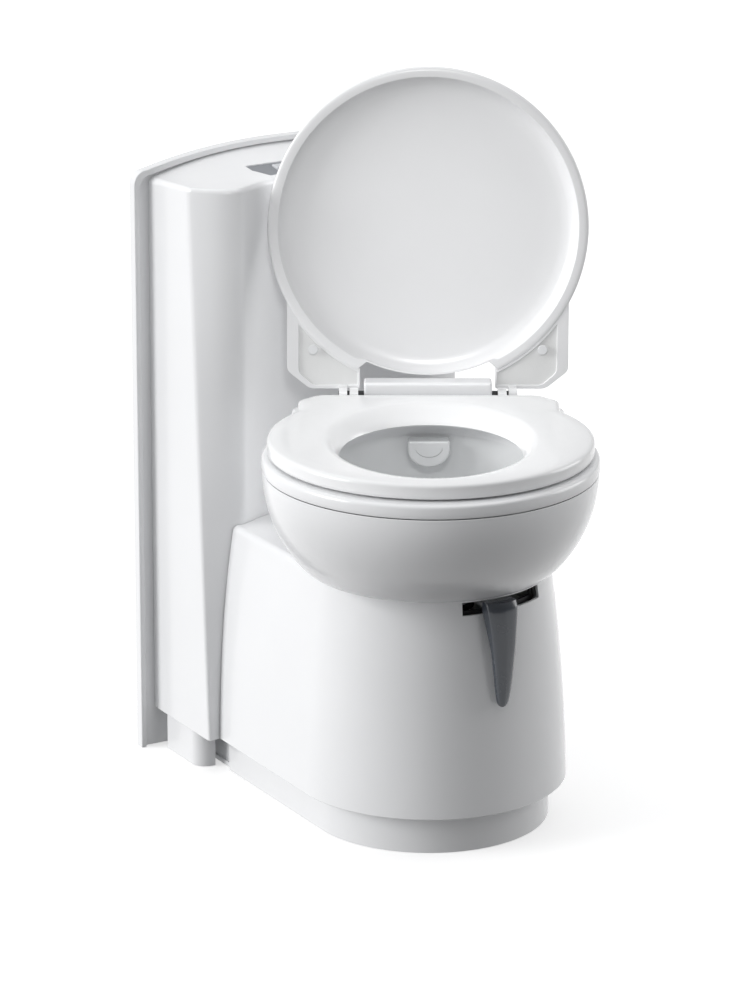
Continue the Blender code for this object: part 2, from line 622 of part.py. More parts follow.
def make_lid(pivot):
    """Round dish with two ears, drawn closed in the frame of its hinge; the pivot holds it open."""
    count = 40
    rear = LID_REAR_Y - HINGE_Y

    def ring(radius, z, cut=0.0):
        points = circle(radius, z - HINGE_Z, (0, SEAT_CENTRE_Y - HINGE_Y), count)
        return [(x, min(y, rear - cut), zz) for x, y, zz in points]
    rim, top = LID_RIM_Z, LID_RIM_Z + LID_DEPTH
    inner_top = top - 0.0035
    rings = [ring(0.120, inner_top, 0.02), ring(0.172, inner_top - 0.001, 0.012),
             ring(0.183, rim + 0.010, 0.008), ring(0.1865, rim, 0.006), ring(LID_R - 0.0005, rim),
             ring(LID_R, rim + 0.006), ring(0.188, rim + 0.015, 0.003), ring(0.172, top - 0.001, 0.008),
             ring(0.120, top, 0.02)]
    lid = loft("lid", rings, WHITE, pivot)
    for side, sign in (("left", -1), ("right", 1)):
        boolean(lid, ear(f"ear_{side}", sign, pivot), "UNION")
        arm, knuckle = lug(f"lid_lug_{side}", sign, LID_LUG_X, (-0.0085, 0.0), (LUG_R, 0.0180), pivot)
        boolean(lid, arm, "UNION")
        boolean(lid, knuckle, "UNION")
        boolean(lid, pin_hole(f"lid_bore_{side}", sign, 0.096, 0.112, pivot, 0, 0))
        rod(f"lid_bumper_{side}", (sign * 0.140, -0.053, SEAT_TOP_Z + GAP - HINGE_Z), "Z",
            LID_RIM_Z - SEAT_TOP_Z, 0.006, SATIN, pivot, sides=12)


def ear(name, sign, pivot):
    """Flat wing between the dish and the hinge."""
    centre = SEAT_CENTRE_Y - HINGE_Y
    radius = 0.190
    xs = [0.1717, 0.155, 0.135, 0.110, 0.0825]
    arc = [(x, centre + math.sqrt(radius ** 2 - x * x)) for x in xs]
    plan = arc + [(0.0825, -0.0045), (0.144, -0.0045), (0.1717, -0.0265)]
    low, high = LID_RIM_Z + 0.0005 - HINGE_Z, LID_RIM_Z + 0.0075 - HINGE_Z
    return loft(name, [[(sign * x, y, z) for x, y in plan] for z in (low, high)], parent=pivot, tool=True)


# ---------------------------------------------------------------- blade lever and its gears
def toothed(name, teeth, pitch_r, inner_r, z_span, mat, centre=(0.0, 0.0), first=0, last=None, phase=0.0,
            backlash=0.0005):
    """A ring with trapezoid teeth between two tooth numbers, plain elsewhere."""
    module = 2 * pitch_r / teeth
    root, tip = pitch_r - 1.15 * module, pitch_r + 0.75 * module
    last = teeth if last is None else last
    outer, inner = [], []
    for tooth in range(teeth):
        middle = phase + 2 * math.pi * tooth / teeth
        pitch = 2 * math.pi / teeth
        shown = first <= tooth < last
        at_root = 0.25 * pitch + 0.05 * pitch - backlash / pitch_r
        at_tip = 0.125 * pitch
        for turn, radius in ((-at_root, root), (-at_tip, tip), (at_tip, tip), (at_root, root)):
            angle = middle + turn
            reach = radius if shown else root
            outer.append((centre[0] + reach * math.sin(angle), centre[1] - reach * math.cos(angle)))
            inner.append((centre[0] + inner_r * math.sin(angle), centre[1] - inner_r * math.cos(angle)))
    z_low, z_high = z_span
    rings = [[(x, y, z_low) for x, y in inner], [(x, y, z_low) for x, y in outer],
             [(x, y, z_high) for x, y in outer], [(x, y, z_high) for x, y in inner]]
    return loft(name, rings, mat, closed=True)


def make_lever():
    """Ring round the outlet neck with an arm to the front, and the blade that hangs on the arm."""
    pitch_r = GEAR_CENTRES * DRIVE_TEETH / (DRIVE_TEETH + PINION_TEETH)
    ring = toothed("lever_ring", DRIVE_TEETH, pitch_r, 0.0575, LEVER_RING_Z, SATIN, first=10, last=20)
    arm = box("lever_arm", (-0.010, -0.1555, LEVER_RING_Z[0]), (0.010, -0.0600, LEVER_RING_Z[1]), tool=True)
    boolean(ring, arm, "UNION")
    # half width, inner radius, outer radius and height down the blade
    stations = ((0.0205, 0.1560, 0.1720, 0.3165), (0.0205, 0.1560, 0.1760, 0.3050),
                (0.0180, 0.1600, 0.1785, 0.2850), (0.0150, 0.1680, 0.1800, 0.2550),
                (0.0105, 0.1690, 0.1790, 0.2150), (0.0075, 0.1690, 0.1765, 0.1950),
                (0.0030, 0.1700, 0.1745, 0.1870))
    rings = []
    for half, inner, outer, z in stations:
        bulge = 0.6 * half
        rings.append([(-half, -inner, z), (-half, -outer + 0.004, z), (-bulge, -outer, z), (bulge, -outer, z),
                      (half, -outer + 0.004, z), (half, -inner, z)])
    loft("blade_lever", rings, SLATE)


def make_blade():
    """Closing blade on its shaft, with the pinion that the lever's ring drives."""
    pitch_r = GEAR_CENTRES * PINION_TEETH / (DRIVE_TEETH + PINION_TEETH)
    half_pitch = math.pi / PINION_TEETH
    toothed("blade_pinion", PINION_TEETH, pitch_r, 0.0053, LEVER_RING_Z, SATIN, (0.0, GEAR_CENTRES),
            phase=half_pitch)
    foot = 0.2565
    shaft = rod("blade_shaft", (0, GEAR_CENTRES, foot), "Z", LEVER_RING_Z[1] - foot, 0.005, STEEL, sides=16)
    flat = box("shaft_flat", (-0.01, GEAR_CENTRES + 0.0045, 0.30), (0.01, GEAR_CENTRES + 0.02, 0.32),
               tool=True)
    boolean(shaft, flat)
    blade = rod("closing_blade", (0, 0, 0.2570), "Z", 0.003, BLADE_HOLE_R + 0.0045, PANEL, sides=32)
    arm = box("blade_arm", (-0.012, 0.030, 0.2570), (0.012, GEAR_CENTRES, 0.2600), tool=True)
    boolean(blade, arm, "UNION")
    boolean(blade, rod("blade_eye", (0, GEAR_CENTRES, 0.2570), "Z", 0.003, 0.013, tool=True), "UNION")
    boolean(blade, rod("blade_eye_hole", (0, GEAR_CENTRES, 0.25), "Z", 0.02, 0.0053, tool=True, sides=16))


# ---------------------------------------------------------------- cassette
def cassette_ring(inset, z):
    """Plan of the cassette: an oval front that follows the pedestal, and a square back."""
    half = CASSETTE_HALF_W - inset
    reach = 0.095 - inset
    middle, back = CASSETTE_Y[0] + 0.095, CASSETTE_Y[1] - inset
    turn = [math.radians(-90 + 180 * i / 14) for i in range(15)]
    front = [(half * math.sin(t), middle - reach * math.cos(t), z) for t in turn]
    return front + [(half, back, z), (-half, back, z)]


def wheel_niche(name, sign, extra):
    """Block that a wheel niche is cut with; extra is the wall left round it."""
    near, far = sorted((sign * (0.1035 - extra), sign * 0.160))
    return box(name, (near, -0.150, -0.010), (far, WHEEL_Y + 0.021 + extra, 0.047 + extra), tool=True)


def make_cassette():
    """Waste tank in two shells; returns the lower one, which the fittings are joined to."""
    low, seam, high = CASSETTE_Z
    lower = loft("cassette_lower", [cassette_ring(0.006, low), cassette_ring(0.0, low + 0.006),
                                    cassette_ring(0.0, seam)], TANK)
    inside = [cassette_ring(WALL, low + 0.0035 + WALL), cassette_ring(WALL, seam + 0.01)]
    hollow = loft("lower_hollow", inside, tool=True)
    for side, sign in (("left", -1), ("right", 1)):
        boolean(hollow, wheel_niche(f"niche_wall_{side}", sign, WALL))
    boolean(lower, hollow)
    for side, sign in (("left", -1), ("right", 1)):
        boolean(lower, wheel_niche(f"wheel_niche_{side}", sign, 0.0))
    upper = loft("cassette_upper", [cassette_ring(0.0, seam + GAP), cassette_ring(0.0, high - 0.006),
                                    cassette_ring(0.006, high)], TANK)
    inside = [cassette_ring(WALL, seam - 0.01), cassette_ring(WALL, high - WALL - 0.004),
              cassette_ring(WALL + 0.004, high - WALL)]
    boolean(upper, loft("upper_hollow", inside, tool=True))
    boolean(upper, rod("blade_hole", (0, 0, 0.23), "Z", 0.05, BLADE_HOLE_R, tool=True, sides=32))
    boolean(upper, rod("spout_hole", (SPOUT_X, 0.28, SPOUT_Z), "Y", 0.05, 0.0155, tool=True, sides=24))
    return lower


def make_spout():
    """Swinging pour-out elbow and its screw cap."""
    spout = rod("pour_spout", (SPOUT_END_X, SPOUT_Y, SPOUT_Z), "X", SPOUT_X + SPOUT_R - SPOUT_END_X, SPOUT_R,
                TANK, sides=24)
    start = CASSETTE_Y[1] + GAP
    neck_r = SPOUT_R - 0.0004
    neck = rod("spout_neck", (SPOUT_X, start, SPOUT_Z), "Y", SPOUT_Y - start, neck_r, tool=True, sides=24)
    boolean(spout, neck, "UNION")
    boolean(spout, rod("spout_bore", (SPOUT_END_X - 0.01, SPOUT_Y, SPOUT_Z), "X",
                       SPOUT_X - SPOUT_END_X + 0.02, SPOUT_R - WALL, tool=True, sides=24))
    boolean(spout, rod("neck_bore", (SPOUT_X, start - 0.01, SPOUT_Z), "Y", SPOUT_Y - start + 0.01,
                       neck_r - WALL, tool=True, sides=24))
    cap = rod("spout_cap", (SPOUT_END_X - 0.016, SPOUT_Y, SPOUT_Z), "X", 0.015, SPOUT_R, SLATE, sides=24)
    boolean(cap, rod("cap_hollow", (SPOUT_END_X - 0.010, SPOUT_Y, SPOUT_Z), "X", 0.02, SPOUT_R - WALL,
                     tool=True, sides=24))


def make_handle(tank):
    """Bail handle, and the two lugs that hold it on the cassette's back."""
    left, right = HANDLE_X
    drop = HANDLE_Z - 0.036
    route = [(left - 0.010, HANDLE_Z), (left, HANDLE_Z), (left, drop + 0.008), (left + 0.008, drop),
             (right - 0.008, drop), (right, drop + 0.008), (right, HANDLE_Z), (right + 0.010, HANDLE_Z)]
    tube("carry_handle", [(x, HANDLE_Y, z) for x, z in route], 0.0035, SLATE)
    for name, x in (("handle_lug_left", left - 0.0125), ("handle_lug_right", right + 0.0045)):
        block = box(name, (x, CASSETTE_Y[1] - 0.001, HANDLE_Z - 0.006),
                    (x + 0.008, HANDLE_Y + 0.006, HANDLE_Z + 0.006), tool=True)
        boolean(tank, block, "UNION")
        boolean(tank, rod(name + "_bore", (x - 0.001, HANDLE_Y, HANDLE_Z), "X", 0.010, 0.0039, tool=True,
                          sides=16))


def make_cassette_fittings(tank):
    """Mechanism cover with its seal, gauge, vent and wheels."""
    high = CASSETTE_Z[2]
    cover = box("mechanism_cover", (-0.1315, -0.062, high + GAP), (0.070, 0.118, COVER_TOP_Z), TANK)
    inside = box("cover_inside", (-0.1292, -0.059, high - 0.01), (0.067, 0.115, COVER_TOP_Z - 0.0025),
                 tool=True)
    boolean(cover, inside)
    boolean(cover, rod("cover_hole", (0, 0, 0.25), "Z", 0.03, BLADE_HOLE_R, tool=True, sides=32))
    boolean(cover, rod("cover_shaft_hole", (0, GEAR_CENTRES, 0.25), "Z", 0.03, 0.0055, tool=True, sides=16))
    collar("lip_seal", BLADE_HOLE_R + 0.001, 0.056, COVER_TOP_Z + GAP, 0.2718, RUBBER, sides=32)
    rod("level_gauge", (0.085, 0.200, high + GAP), "Z", 0.006, 0.020, LENS, sides=24)
    collar("vent_collar", 0.0126, 0.018, high + GAP, 0.2620, TANK, centre=(-0.085, 0.240), sides=20)
    rod("vent_button", (-0.085, 0.240, 0.2590), "Z", 0.0090, 0.0120, SLATE, sides=20)
    for side, sign in (("left", -1), ("right", 1)):
        near = 0.1045 if sign > 0 else -0.1245
        wheel = rod(f"wheel_{side}", (near, WHEEL_Y, WHEEL_Z), "X", 0.020, 0.0180, DARK, sides=24)
        boolean(wheel, rod(f"wheel_bore_{side}", (near - 0.01, WHEEL_Y, WHEEL_Z), "X", 0.05, 0.0042,
                           tool=True, sides=16))
        start = 0.1020 if sign > 0 else -0.1260
        pin = rod(f"wheel_pin_{side}", (start, WHEEL_Y, WHEEL_Z), "X", 0.0240, 0.0038, tool=True, sides=16)
        boolean(tank, pin, "UNION")


# ---------------------------------------------------------------- flush water side
def make_water_side():
    """Tank, lid, filler, pump, hose and electronics inside the console."""
    (left, right), (front, back), (low, high) = FLUSH_TANK_X, FLUSH_TANK_Y, FLUSH_TANK_Z
    tank = box("flush_tank", (left, front, low), (right, back, high), TANK, bevel=0.006)
    boolean(tank, box("tank_inside", (left + WALL, front + WALL, low + WALL),
                      (right - WALL, back - WALL, high + 0.02), tool=True))
    boolean(tank, rod("tank_fill_hole", (FILLER_X, 0.34, FILLER_Z), "Y", 0.03, 0.0215, tool=True, sides=24))
    lid = box("flush_tank_lid", (left, front, high + GAP), (right, back, high + 0.005), TANK)
    boolean(lid, rod("hose_hole", (0.110, 0.310, 0.64), "Z", 0.04, 0.0055, tool=True, sides=16))
    turn = [2 * math.pi * i / 24 for i in range(24)]
    section = ((0.0225, 0.3523), (0.0262, 0.3523), (0.0262, 0.3660), (0.0225, 0.3660))
    neck = [upright([(FILLER_X + r * math.sin(t), FILLER_Z - r * math.cos(t)) for t in turn], y)
            for r, y in section]
    loft("filler_neck", neck, SATIN, closed=True)
    cap = rod("filler_cap", (FILLER_X, 0.3663, FILLER_Z), "Y", 0.0030, 0.0255, SLATE, sides=24)
    boolean(cap, box("cap_grip", (FILLER_X - 0.016, 0.368, FILLER_Z - 0.003),
                     (FILLER_X + 0.016, 0.3715, FILLER_Z + 0.003), tool=True), "UNION")
    rod("flush_pump", (0.110, 0.310, 0.4035), "Z", 0.080, 0.018, DARK, sides=20)
    box("electronics_box", (-0.170, 0.300, 0.335), (-0.110, 0.352, 0.385), SATIN, bevel=0.002)
    make_hose()
    box("hose_elbow", (0.104, 0.012, 0.3105), (0.124, 0.032, DECK_Z - WALL - GAP), SATIN)


def make_hose():
    """Flush hose: pump, over the tank's front, down and forward to the elbow under the deck."""
    places = ((0.110, 0.310, 0.4840), (0.110, 0.310, 0.660), (0.110, 0.300, 0.690), (0.112, 0.272, 0.697),
              (0.112, 0.254, 0.680), (0.112, 0.252, 0.620), (0.112, 0.252, 0.500), (0.114, 0.252, 0.360),
              (0.116, 0.250, 0.310), (0.117, 0.232, 0.290), (0.117, 0.190, 0.288), (0.117, 0.100, 0.288),
              (0.116, 0.050, 0.289), (0.114, 0.026, 0.296), (0.114, 0.022, 0.3100))
    tube("flush_hose", curve_through(places, 3), 0.0045, RUBBER)


# ---------------------------------------------------------------- build
make_back_frame()
make_flange_screws()
make_console_cover()
make_control_panel()
make_pedestal_shell()
make_lever_bezel()
make_plinths()
make_base_plate()

bowl_turn = empty("bowl_turn", (0, 0, 0), rotation=(0, 0, BOWL_TURN))
make_bowl_shell(bowl_turn)
make_bowl_basin(bowl_turn)
make_rim_band(bowl_turn)
make_flush_nozzle(bowl_turn)
make_swivel(bowl_turn)
make_hinge(bowl_turn)
make_seat(empty("seat_pivot", (0, HINGE_Y, HINGE_Z), bowl_turn))
make_lid(empty("lid_pivot", (0, HINGE_Y, HINGE_Z), bowl_turn, (-LID_OPEN, 0, 0)))

make_lever()
make_blade()
cassette_tub = make_cassette()
make_spout()
make_handle(cassette_tub)
make_cassette_fittings(cassette_tub)
make_water_side()
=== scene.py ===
"""Looks of the cassette toilet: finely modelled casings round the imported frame, procedural plastics, and a
pale studio. Metres, +Z up, in the frame's own axes: +Y to the wall, origin on the floor under the bowl.
"""
import math

import bmesh
import bpy
from mathutils import Matrix, Vector


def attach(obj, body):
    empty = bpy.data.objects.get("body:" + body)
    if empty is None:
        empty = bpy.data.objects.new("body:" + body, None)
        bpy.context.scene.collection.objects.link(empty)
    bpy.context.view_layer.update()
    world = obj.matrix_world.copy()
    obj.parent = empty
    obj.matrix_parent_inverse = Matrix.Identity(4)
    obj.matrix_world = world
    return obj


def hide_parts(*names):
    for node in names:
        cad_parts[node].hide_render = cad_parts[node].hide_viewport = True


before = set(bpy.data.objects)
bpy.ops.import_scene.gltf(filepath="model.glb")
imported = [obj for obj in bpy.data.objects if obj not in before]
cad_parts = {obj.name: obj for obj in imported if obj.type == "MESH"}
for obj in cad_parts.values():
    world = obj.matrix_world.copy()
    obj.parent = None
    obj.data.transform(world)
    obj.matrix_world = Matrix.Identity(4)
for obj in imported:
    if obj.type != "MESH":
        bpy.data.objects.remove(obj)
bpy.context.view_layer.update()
scene = bpy.context.scene

# ---------------------------------------------------------------- sizes shared with the frame
GAP = 0.0003
SEAM = 0.001
WALL = 0.003

# wall flange
WALL_Y = 0.372
FLANGE_HALF_W = 0.208
FLANGE_RIM_Y = 0.358
FLANGE_FLOOR_Y = 0.364
FLANGE_RIM_W = 0.007
FLANGE_CORNER_Z = 0.752
FLANGE_CORNER_R = 0.018
ARCH_Z = 0.774

# console: side walls, hollow front between two ridges, arched top
BODY_HALF_W = 0.186
BODY_BOTTOM_Z = 0.050
TOP_FRONT_Z = 0.749
TOP_EDGE_R = 0.0065
TOP_EDGE_Z = 0.722
CORNER_EASE = 0.0055
TROUGH_R = 0.258
RIDGE_X = 0.130
RIDGE_SOFT = 0.007
CORNER_Y_LOW = 0.218
CORNER_Y_HIGH = 0.262

# pedestal, and the kick strips under it
PLINTH_R = 0.149
PLINTH_H = 0.049
PLINTH_BACK_Y = 0.235
SHELL_R_LOW = 0.170
SHELL_R_HIGH = 0.1465
DECK_Z = 0.3255
DECK_EDGE_R = 0.0085
DECK_HOLE_R = 0.0855

# cassette bay, water filler and control panel
BAY_HALF_W = 0.142
BAY_TOP_Z = 0.3115
FILLER_X = -0.090
FILLER_Z = 0.600
FILLER_HOLE_R = 0.0266
PANEL_HALF_W = 0.083
PANEL_BACK_Y = 0.304
BUTTON_AT = (-0.030, 0.289)
TRAY_SINK = 0.0012
KEY_PLAN = ((-0.050, 0.281), (-0.010, 0.297))
WINDOW_PLAN = ((0.015, 0.286), (0.050, 0.292))

# bowl, seat and lid
BOWL_TURN = math.radians(-30)
BOWL_BOTTOM_Z = 0.332
BOWL_TOP_Z = 0.4655
BOWL_HOLE_R = 0.0545
RIM_TOP_Z = 0.4825
SEAT_BOTTOM_Z = 0.4845
SEAT_TOP_Z = 0.5045
SEAT_R = 0.193
SEAT_CENTRE_Y = -0.0897
LID_RIM_Z = 0.507
LID_DEPTH = 0.022
HINGE_Y = 0.113
HINGE_Z = 0.4965
HINGE_BORE_R = 0.0043
KNUCKLE_R = 0.0078
BAR_HALF_W = 0.078
BAR_BORE_X = 0.0615
BAR_BORE_DEEP = 0.0285
LID_OPEN = math.radians(97)

# ends of the slot that the lever travels in
SLOT_FROM = math.radians(-15.5)
SLOT_TO = math.radians(30)

BOWL = Matrix.Rotation(BOWL_TURN, 4, "Z")
HINGE = BOWL @ Matrix.Translation((0, HINGE_Y, HINGE_Z))
LID = HINGE @ Matrix.Rotation(-LID_OPEN, 4, "X")

# name, direction it comes from, strength and width in degrees of each broad light
SUNS = (("key", (-0.88, 0.26, 0.30), 1.90, 32), ("top", (0.0, 0.0, 1.0), 0.45, 60),
        ("right", (0.90, -0.18, 0.25), 1.05, 36))
LID_LIGHT_AT = Vector((-0.55, -0.95, 1.30))
LID_LIGHT_AIM = Vector((0.05, 0.09, 0.71))
BRIGHT_SIDE = (-0.30, 0.62, 0.72)

CAMERA_AT = Vector((-2.60856, -4.31973, 1.98718))
CAMERA_RIGHT = Vector((0.86302, -0.50516, 0.00266))
CAMERA_UP = Vector((0.14971, 0.26080, 0.95371))
CAMERA_BACK = Vector((-0.48247, -0.82268, 0.30071))
FOCAL_MM = 158.4
SENSOR_MM = 36.0


# ---------------------------------------------------------------- materials
def graph(name):
    """A new node material, with its nodes, links and shader and the object's own coordinates."""
    mat = bpy.data.materials.new(name)
    mat.use_nodes = True
    nodes, links = mat.node_tree.nodes, mat.node_tree.links
    place = nodes.new("ShaderNodeTexCoord").outputs["Object"]
    return mat, nodes, links, nodes["Principled BSDF"], place


def noise(nodes, links, place, scale, detail=3.0, rough=0.5):
    """Noise; scale is in waves per metre."""
    tex = nodes.new("ShaderNodeTexNoise")
    tex.inputs["Scale"].default_value = scale
    tex.inputs["Detail"].default_value = detail
    tex.inputs["Roughness"].default_value = rough
    links.new(place, tex.inputs["Vector"])
    return tex.outputs["Fac"]


def spread(nodes, links, value, low, high):
    """Maps the middle of a noise onto a range."""
    step = nodes.new("ShaderNodeMapRange")
    step.inputs["From Min"].default_value = 0.3
    step.inputs["From Max"].default_value = 0.7
    step.inputs["To Min"].default_value = low
    step.inputs["To Max"].default_value = high
    links.new(value, step.inputs["Value"])
    return step.outputs["Result"]


def plastic(name, colour, rough, grain=0.000015, grain_scale=900.0, drift=0.02, coat=0.0, haze=0.05,
            through=0.0):
    """Moulded plastic: slow drift in colour, a fine mould grain, long flow marks and uneven gloss."""
    mat, nodes, links, shader, place = graph(name)
    tint = nodes.new("ShaderNodeMix")
    tint.data_type = "RGBA"
    tint.inputs["A"].default_value = (*[c * (1 - drift) for c in colour], 1)
    tint.inputs["B"].default_value = (*[min(1.0, c * (1 + drift)) for c in colour], 1)
    links.new(spread(nodes, links, noise(nodes, links, place, 7.0), 0, 1), tint.inputs["Factor"])
    links.new(tint.outputs["Result"], shader.inputs["Base Color"])
    gloss = spread(nodes, links, noise(nodes, links, place, 38.0, 5.0, 0.6), rough - haze * 0.5, rough + haze)
    links.new(gloss, shader.inputs["Roughness"])
    fine = nodes.new("ShaderNodeBump")
    fine.inputs["Distance"].default_value = grain
    links.new(noise(nodes, links, place, grain_scale, 2.0), fine.inputs["Height"])
    slow = nodes.new("ShaderNodeBump")
    slow.inputs["Distance"].default_value = 0.00025
    slow.inputs["Strength"].default_value = 0.35
    links.new(noise(nodes, links, place, 16.0, 1.0), slow.inputs["Height"])
    links.new(fine.outputs["Normal"], slow.inputs["Normal"])
    links.new(slow.outputs["Normal"], shader.inputs["Normal"])
    shader.inputs["IOR"].default_value = 1.49
    shader.inputs["Coat Weight"].default_value = coat
    shader.inputs["Coat Roughness"].default_value = 0.08
    shader.inputs["Transmission Weight"].default_value = through
    return mat


def steel(name):
    """Turned steel with fine lines round it."""
    mat, nodes, links, shader, place = graph(name)
    shader.inputs["Metallic"].default_value = 1.0
    shader.inputs["Base Color"].default_value = (0.62, 0.62, 0.64, 1)
    wave = nodes.new("ShaderNodeTexWave")
    wave.inputs["Scale"].default_value = 900.0
    wave.inputs["Distortion"].default_value = 4.0
    links.new(place, wave.inputs["Vector"])
    links.new(spread(nodes, links, wave.outputs["Fac"], 0.22, 0.42), shader.inputs["Roughness"])
    return mat


WHITE = plastic("white_gloss", (0.86, 0.865, 0.875), 0.22, coat=0.25, drift=0.012)
BASIN_WHITE = plastic("basin_gloss", (0.85, 0.86, 0.865), 0.14, coat=0.5, drift=0.012)
SEAT_WHITE = plastic("seat_gloss", (0.88, 0.885, 0.89), 0.20, coat=0.3, drift=0.01)
LID_WHITE = plastic("lid_gloss", (0.84, 0.843, 0.85), 0.30, coat=0.15, drift=0.012)
GRAINED = plastic("white_grained", (0.78, 0.785, 0.78), 0.55, grain=0.00022, grain_scale=620.0, drift=0.05)
SATIN = plastic("white_satin", (0.78, 0.79, 0.80), 0.45, grain=0.00003, drift=0.03)
SLATE = plastic("slate_grey", (0.050, 0.058, 0.072), 0.24, coat=0.4, drift=0.08)
PANEL = plastic("panel_grey", (0.24, 0.25, 0.27), 0.42, grain=0.00005, drift=0.04)
KEY = plastic("key_grey", (0.58, 0.59, 0.61), 0.35, grain=0.00004, drift=0.03)
DARK = plastic("dark_plastic", (0.022, 0.023, 0.025), 0.48, grain=0.00004, drift=0.15)
TANK = plastic("tank_plastic", (0.66, 0.68, 0.65), 0.42, grain=0.00008, grain_scale=420.0, drift=0.05)
RUBBER = plastic("black_rubber", (0.02, 0.02, 0.021), 0.75, grain=0.00008, drift=0.2)
LENS = plastic("clear_lens", (0.70, 0.76, 0.78), 0.08, grain=0.000004, drift=0.02, through=0.6)
STEEL = steel("turned_steel")


# ---------------------------------------------------------------- shapes
def add(name, bm, mat, place=None):
    """Turns a bmesh into an object in the row frame."""
    bmesh.ops.recalc_face_normals(bm, faces=bm.faces)
    mesh = bpy.data.meshes.new(name)
    bm.to_mesh(mesh)
    bm.free()
    if place is not None:
        mesh.transform(place)
    if mat:
        mesh.materials.append(mat)
    obj = bpy.data.objects.new(name, mesh)
    scene.collection.objects.link(obj)
    return obj


def rows_of(rings, loop=True, closed=False):
    """Starts a bmesh with a row of equal-length rings, skinned one to the next."""
    bm = bmesh.new()
    rows = [[bm.verts.new(point) for point in ring] for ring in rings]
    count = len(rows[0])
    pairs = list(zip(rows, rows[1:]))
    if closed:
        pairs.append((rows[-1], rows[0]))
    for low, high in pairs:
        for i in range(count if loop else count - 1):
            j = (i + 1) % count
            bm.faces.new((low[i], low[j], high[j], high[i]))
    return bm, rows


def skin(name, rings, mat=None, place=None, closed=False):
    """Skins rings into a solid: closed joins the last to the first, else both ends are capped."""
    bm, rows = rows_of(rings, closed=closed)
    if not closed:
        bm.faces.new(rows[0])
        bm.faces.new(rows[-1])
    return add(name, bm, mat, place)


def prism(name, plan, low, high, mat=None):
    """A level outline of (x, y) points raised from one height to another."""
    return skin(name, [[(x, y, z) for x, y in plan] for z in (low, high)], mat)


def box(name, low, high, mat=None):
    """An upright box between two corners."""
    bm = bmesh.new()
    size = [b - a for a, b in zip(low, high)]
    middle = [(a + b) / 2 for a, b in zip(low, high)]
    bmesh.ops.create_cube(bm, size=1.0, matrix=Matrix.Translation(middle) @ Matrix.Diagonal((*size, 1.0)))
    return add(name, bm, mat)


def pane(name, plan, low, high, grown=0.0, mat=None):
    """An upright box over a plan of two (x, y) corners, grown sideways."""
    (x0, y0), (x1, y1) = plan
    return box(name, (x0 - grown, y0 - grown, low), (x1 + grown, y1 + grown, high), mat)


TURN_TO = {"Z": Matrix.Identity(4), "X": Matrix.Rotation(math.radians(90), 4, "Y"),
           "Y": Matrix.Rotation(math.radians(-90), 4, "X")}


def rod(name, start, axis, length, radius, sides=48):
    """A solid cylinder from start along +axis."""
    bm = bmesh.new()
    at = Matrix.Translation(start) @ TURN_TO[axis] @ Matrix.Translation((0, 0, length / 2))
    bmesh.ops.create_cone(bm, cap_ends=True, segments=sides, radius1=radius, radius2=radius, depth=length,
                          matrix=at)
    return add(name, bm, None)


def bake(obj):
    """Applies the modifiers."""
    evaluated = obj.evaluated_get(bpy.context.evaluated_depsgraph_get())
    mesh = bpy.data.meshes.new_from_object(evaluated)
    obj.modifiers.clear()
    obj.data = mesh


def boolean(target, tool, operation="DIFFERENCE"):
    """Cuts the tool from the target, or joins it on, and removes the tool."""
    step = target.modifiers.new("cut", "BOOLEAN")
    step.operation = operation
    step.solver = "EXACT"
    step.object = tool
    bake(target)
    bpy.data.objects.remove(tool)


def bevel(obj, width, segments, angle):
    """Adds a modifier that rounds every edge sharper than the angle, in degrees."""
    step = obj.modifiers.new("bevel", "BEVEL")
    step.width = width
    step.segments = segments
    step.limit_method = "ANGLE"
    step.angle_limit = math.radians(angle)
    step.use_clamp_overlap = True


def soften(obj, width, segments=3, angle=30.0):
    """Rounds every edge sharper than the angle, at once."""
    bevel(obj, width, segments, angle)
    bake(obj)


def thicken(obj):
    """Gives a sheet its wall, inwards."""
    step = obj.modifiers.new("wall", "SOLIDIFY")
    step.thickness = WALL
    step.offset = -1.0
    step.use_even_offset = True
    bake(obj)


def place_piece(obj, body, slot, *nodes, sharp=38.0):
    """Shades the piece, hangs it on its body and hides the CAD nodes it stands for."""
    obj.data.shade_smooth()
    obj.data.set_sharp_from_angle(angle=math.radians(sharp))
    weigh = obj.modifiers.new("normals", "WEIGHTED_NORMAL")
    weigh.keep_sharp = True
    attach(obj, body)
    if nodes:
        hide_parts(*nodes)


def angles(start, end, count):
    """Evenly spaced angles in radians from start to end, both given in degrees."""
    return [math.radians(start + (end - start) * i / count) for i in range(count + 1)]


def rounded(points, corners, steps=6):
    """Rounds corners of a line of (x, y) points; corners maps an index to how far the curve reaches."""
    out = []
    for i, point in enumerate(points):
        reach = corners.get(i)
        if not reach:
            out.append(point)
            continue
        here = Vector(point)
        before = Vector(points[i - 1]) - here
        after = Vector(points[(i + 1) % len(points)]) - here
        start = here + before.normalized() * min(reach, before.length * 0.49)
        end = here + after.normalized() * min(reach, after.length * 0.49)
        for k in range(steps + 1):
            t = k / steps
            out.append(tuple(start * (1 - t) ** 2 + here * 2 * t * (1 - t) + end * t * t))
    return out


def oval(half_w, half_l, centre_y, z, sides=96):
    """A level ring of points, from the front round to the right."""
    steps = [2 * math.pi * i / sides for i in range(sides)]
    return [(half_w * math.sin(t), centre_y - half_l * math.cos(t), z) for t in steps]


def upright(points, y):
    """Stands a flat outline up at depth y."""
    return [(x, y, z) for x, z in points]


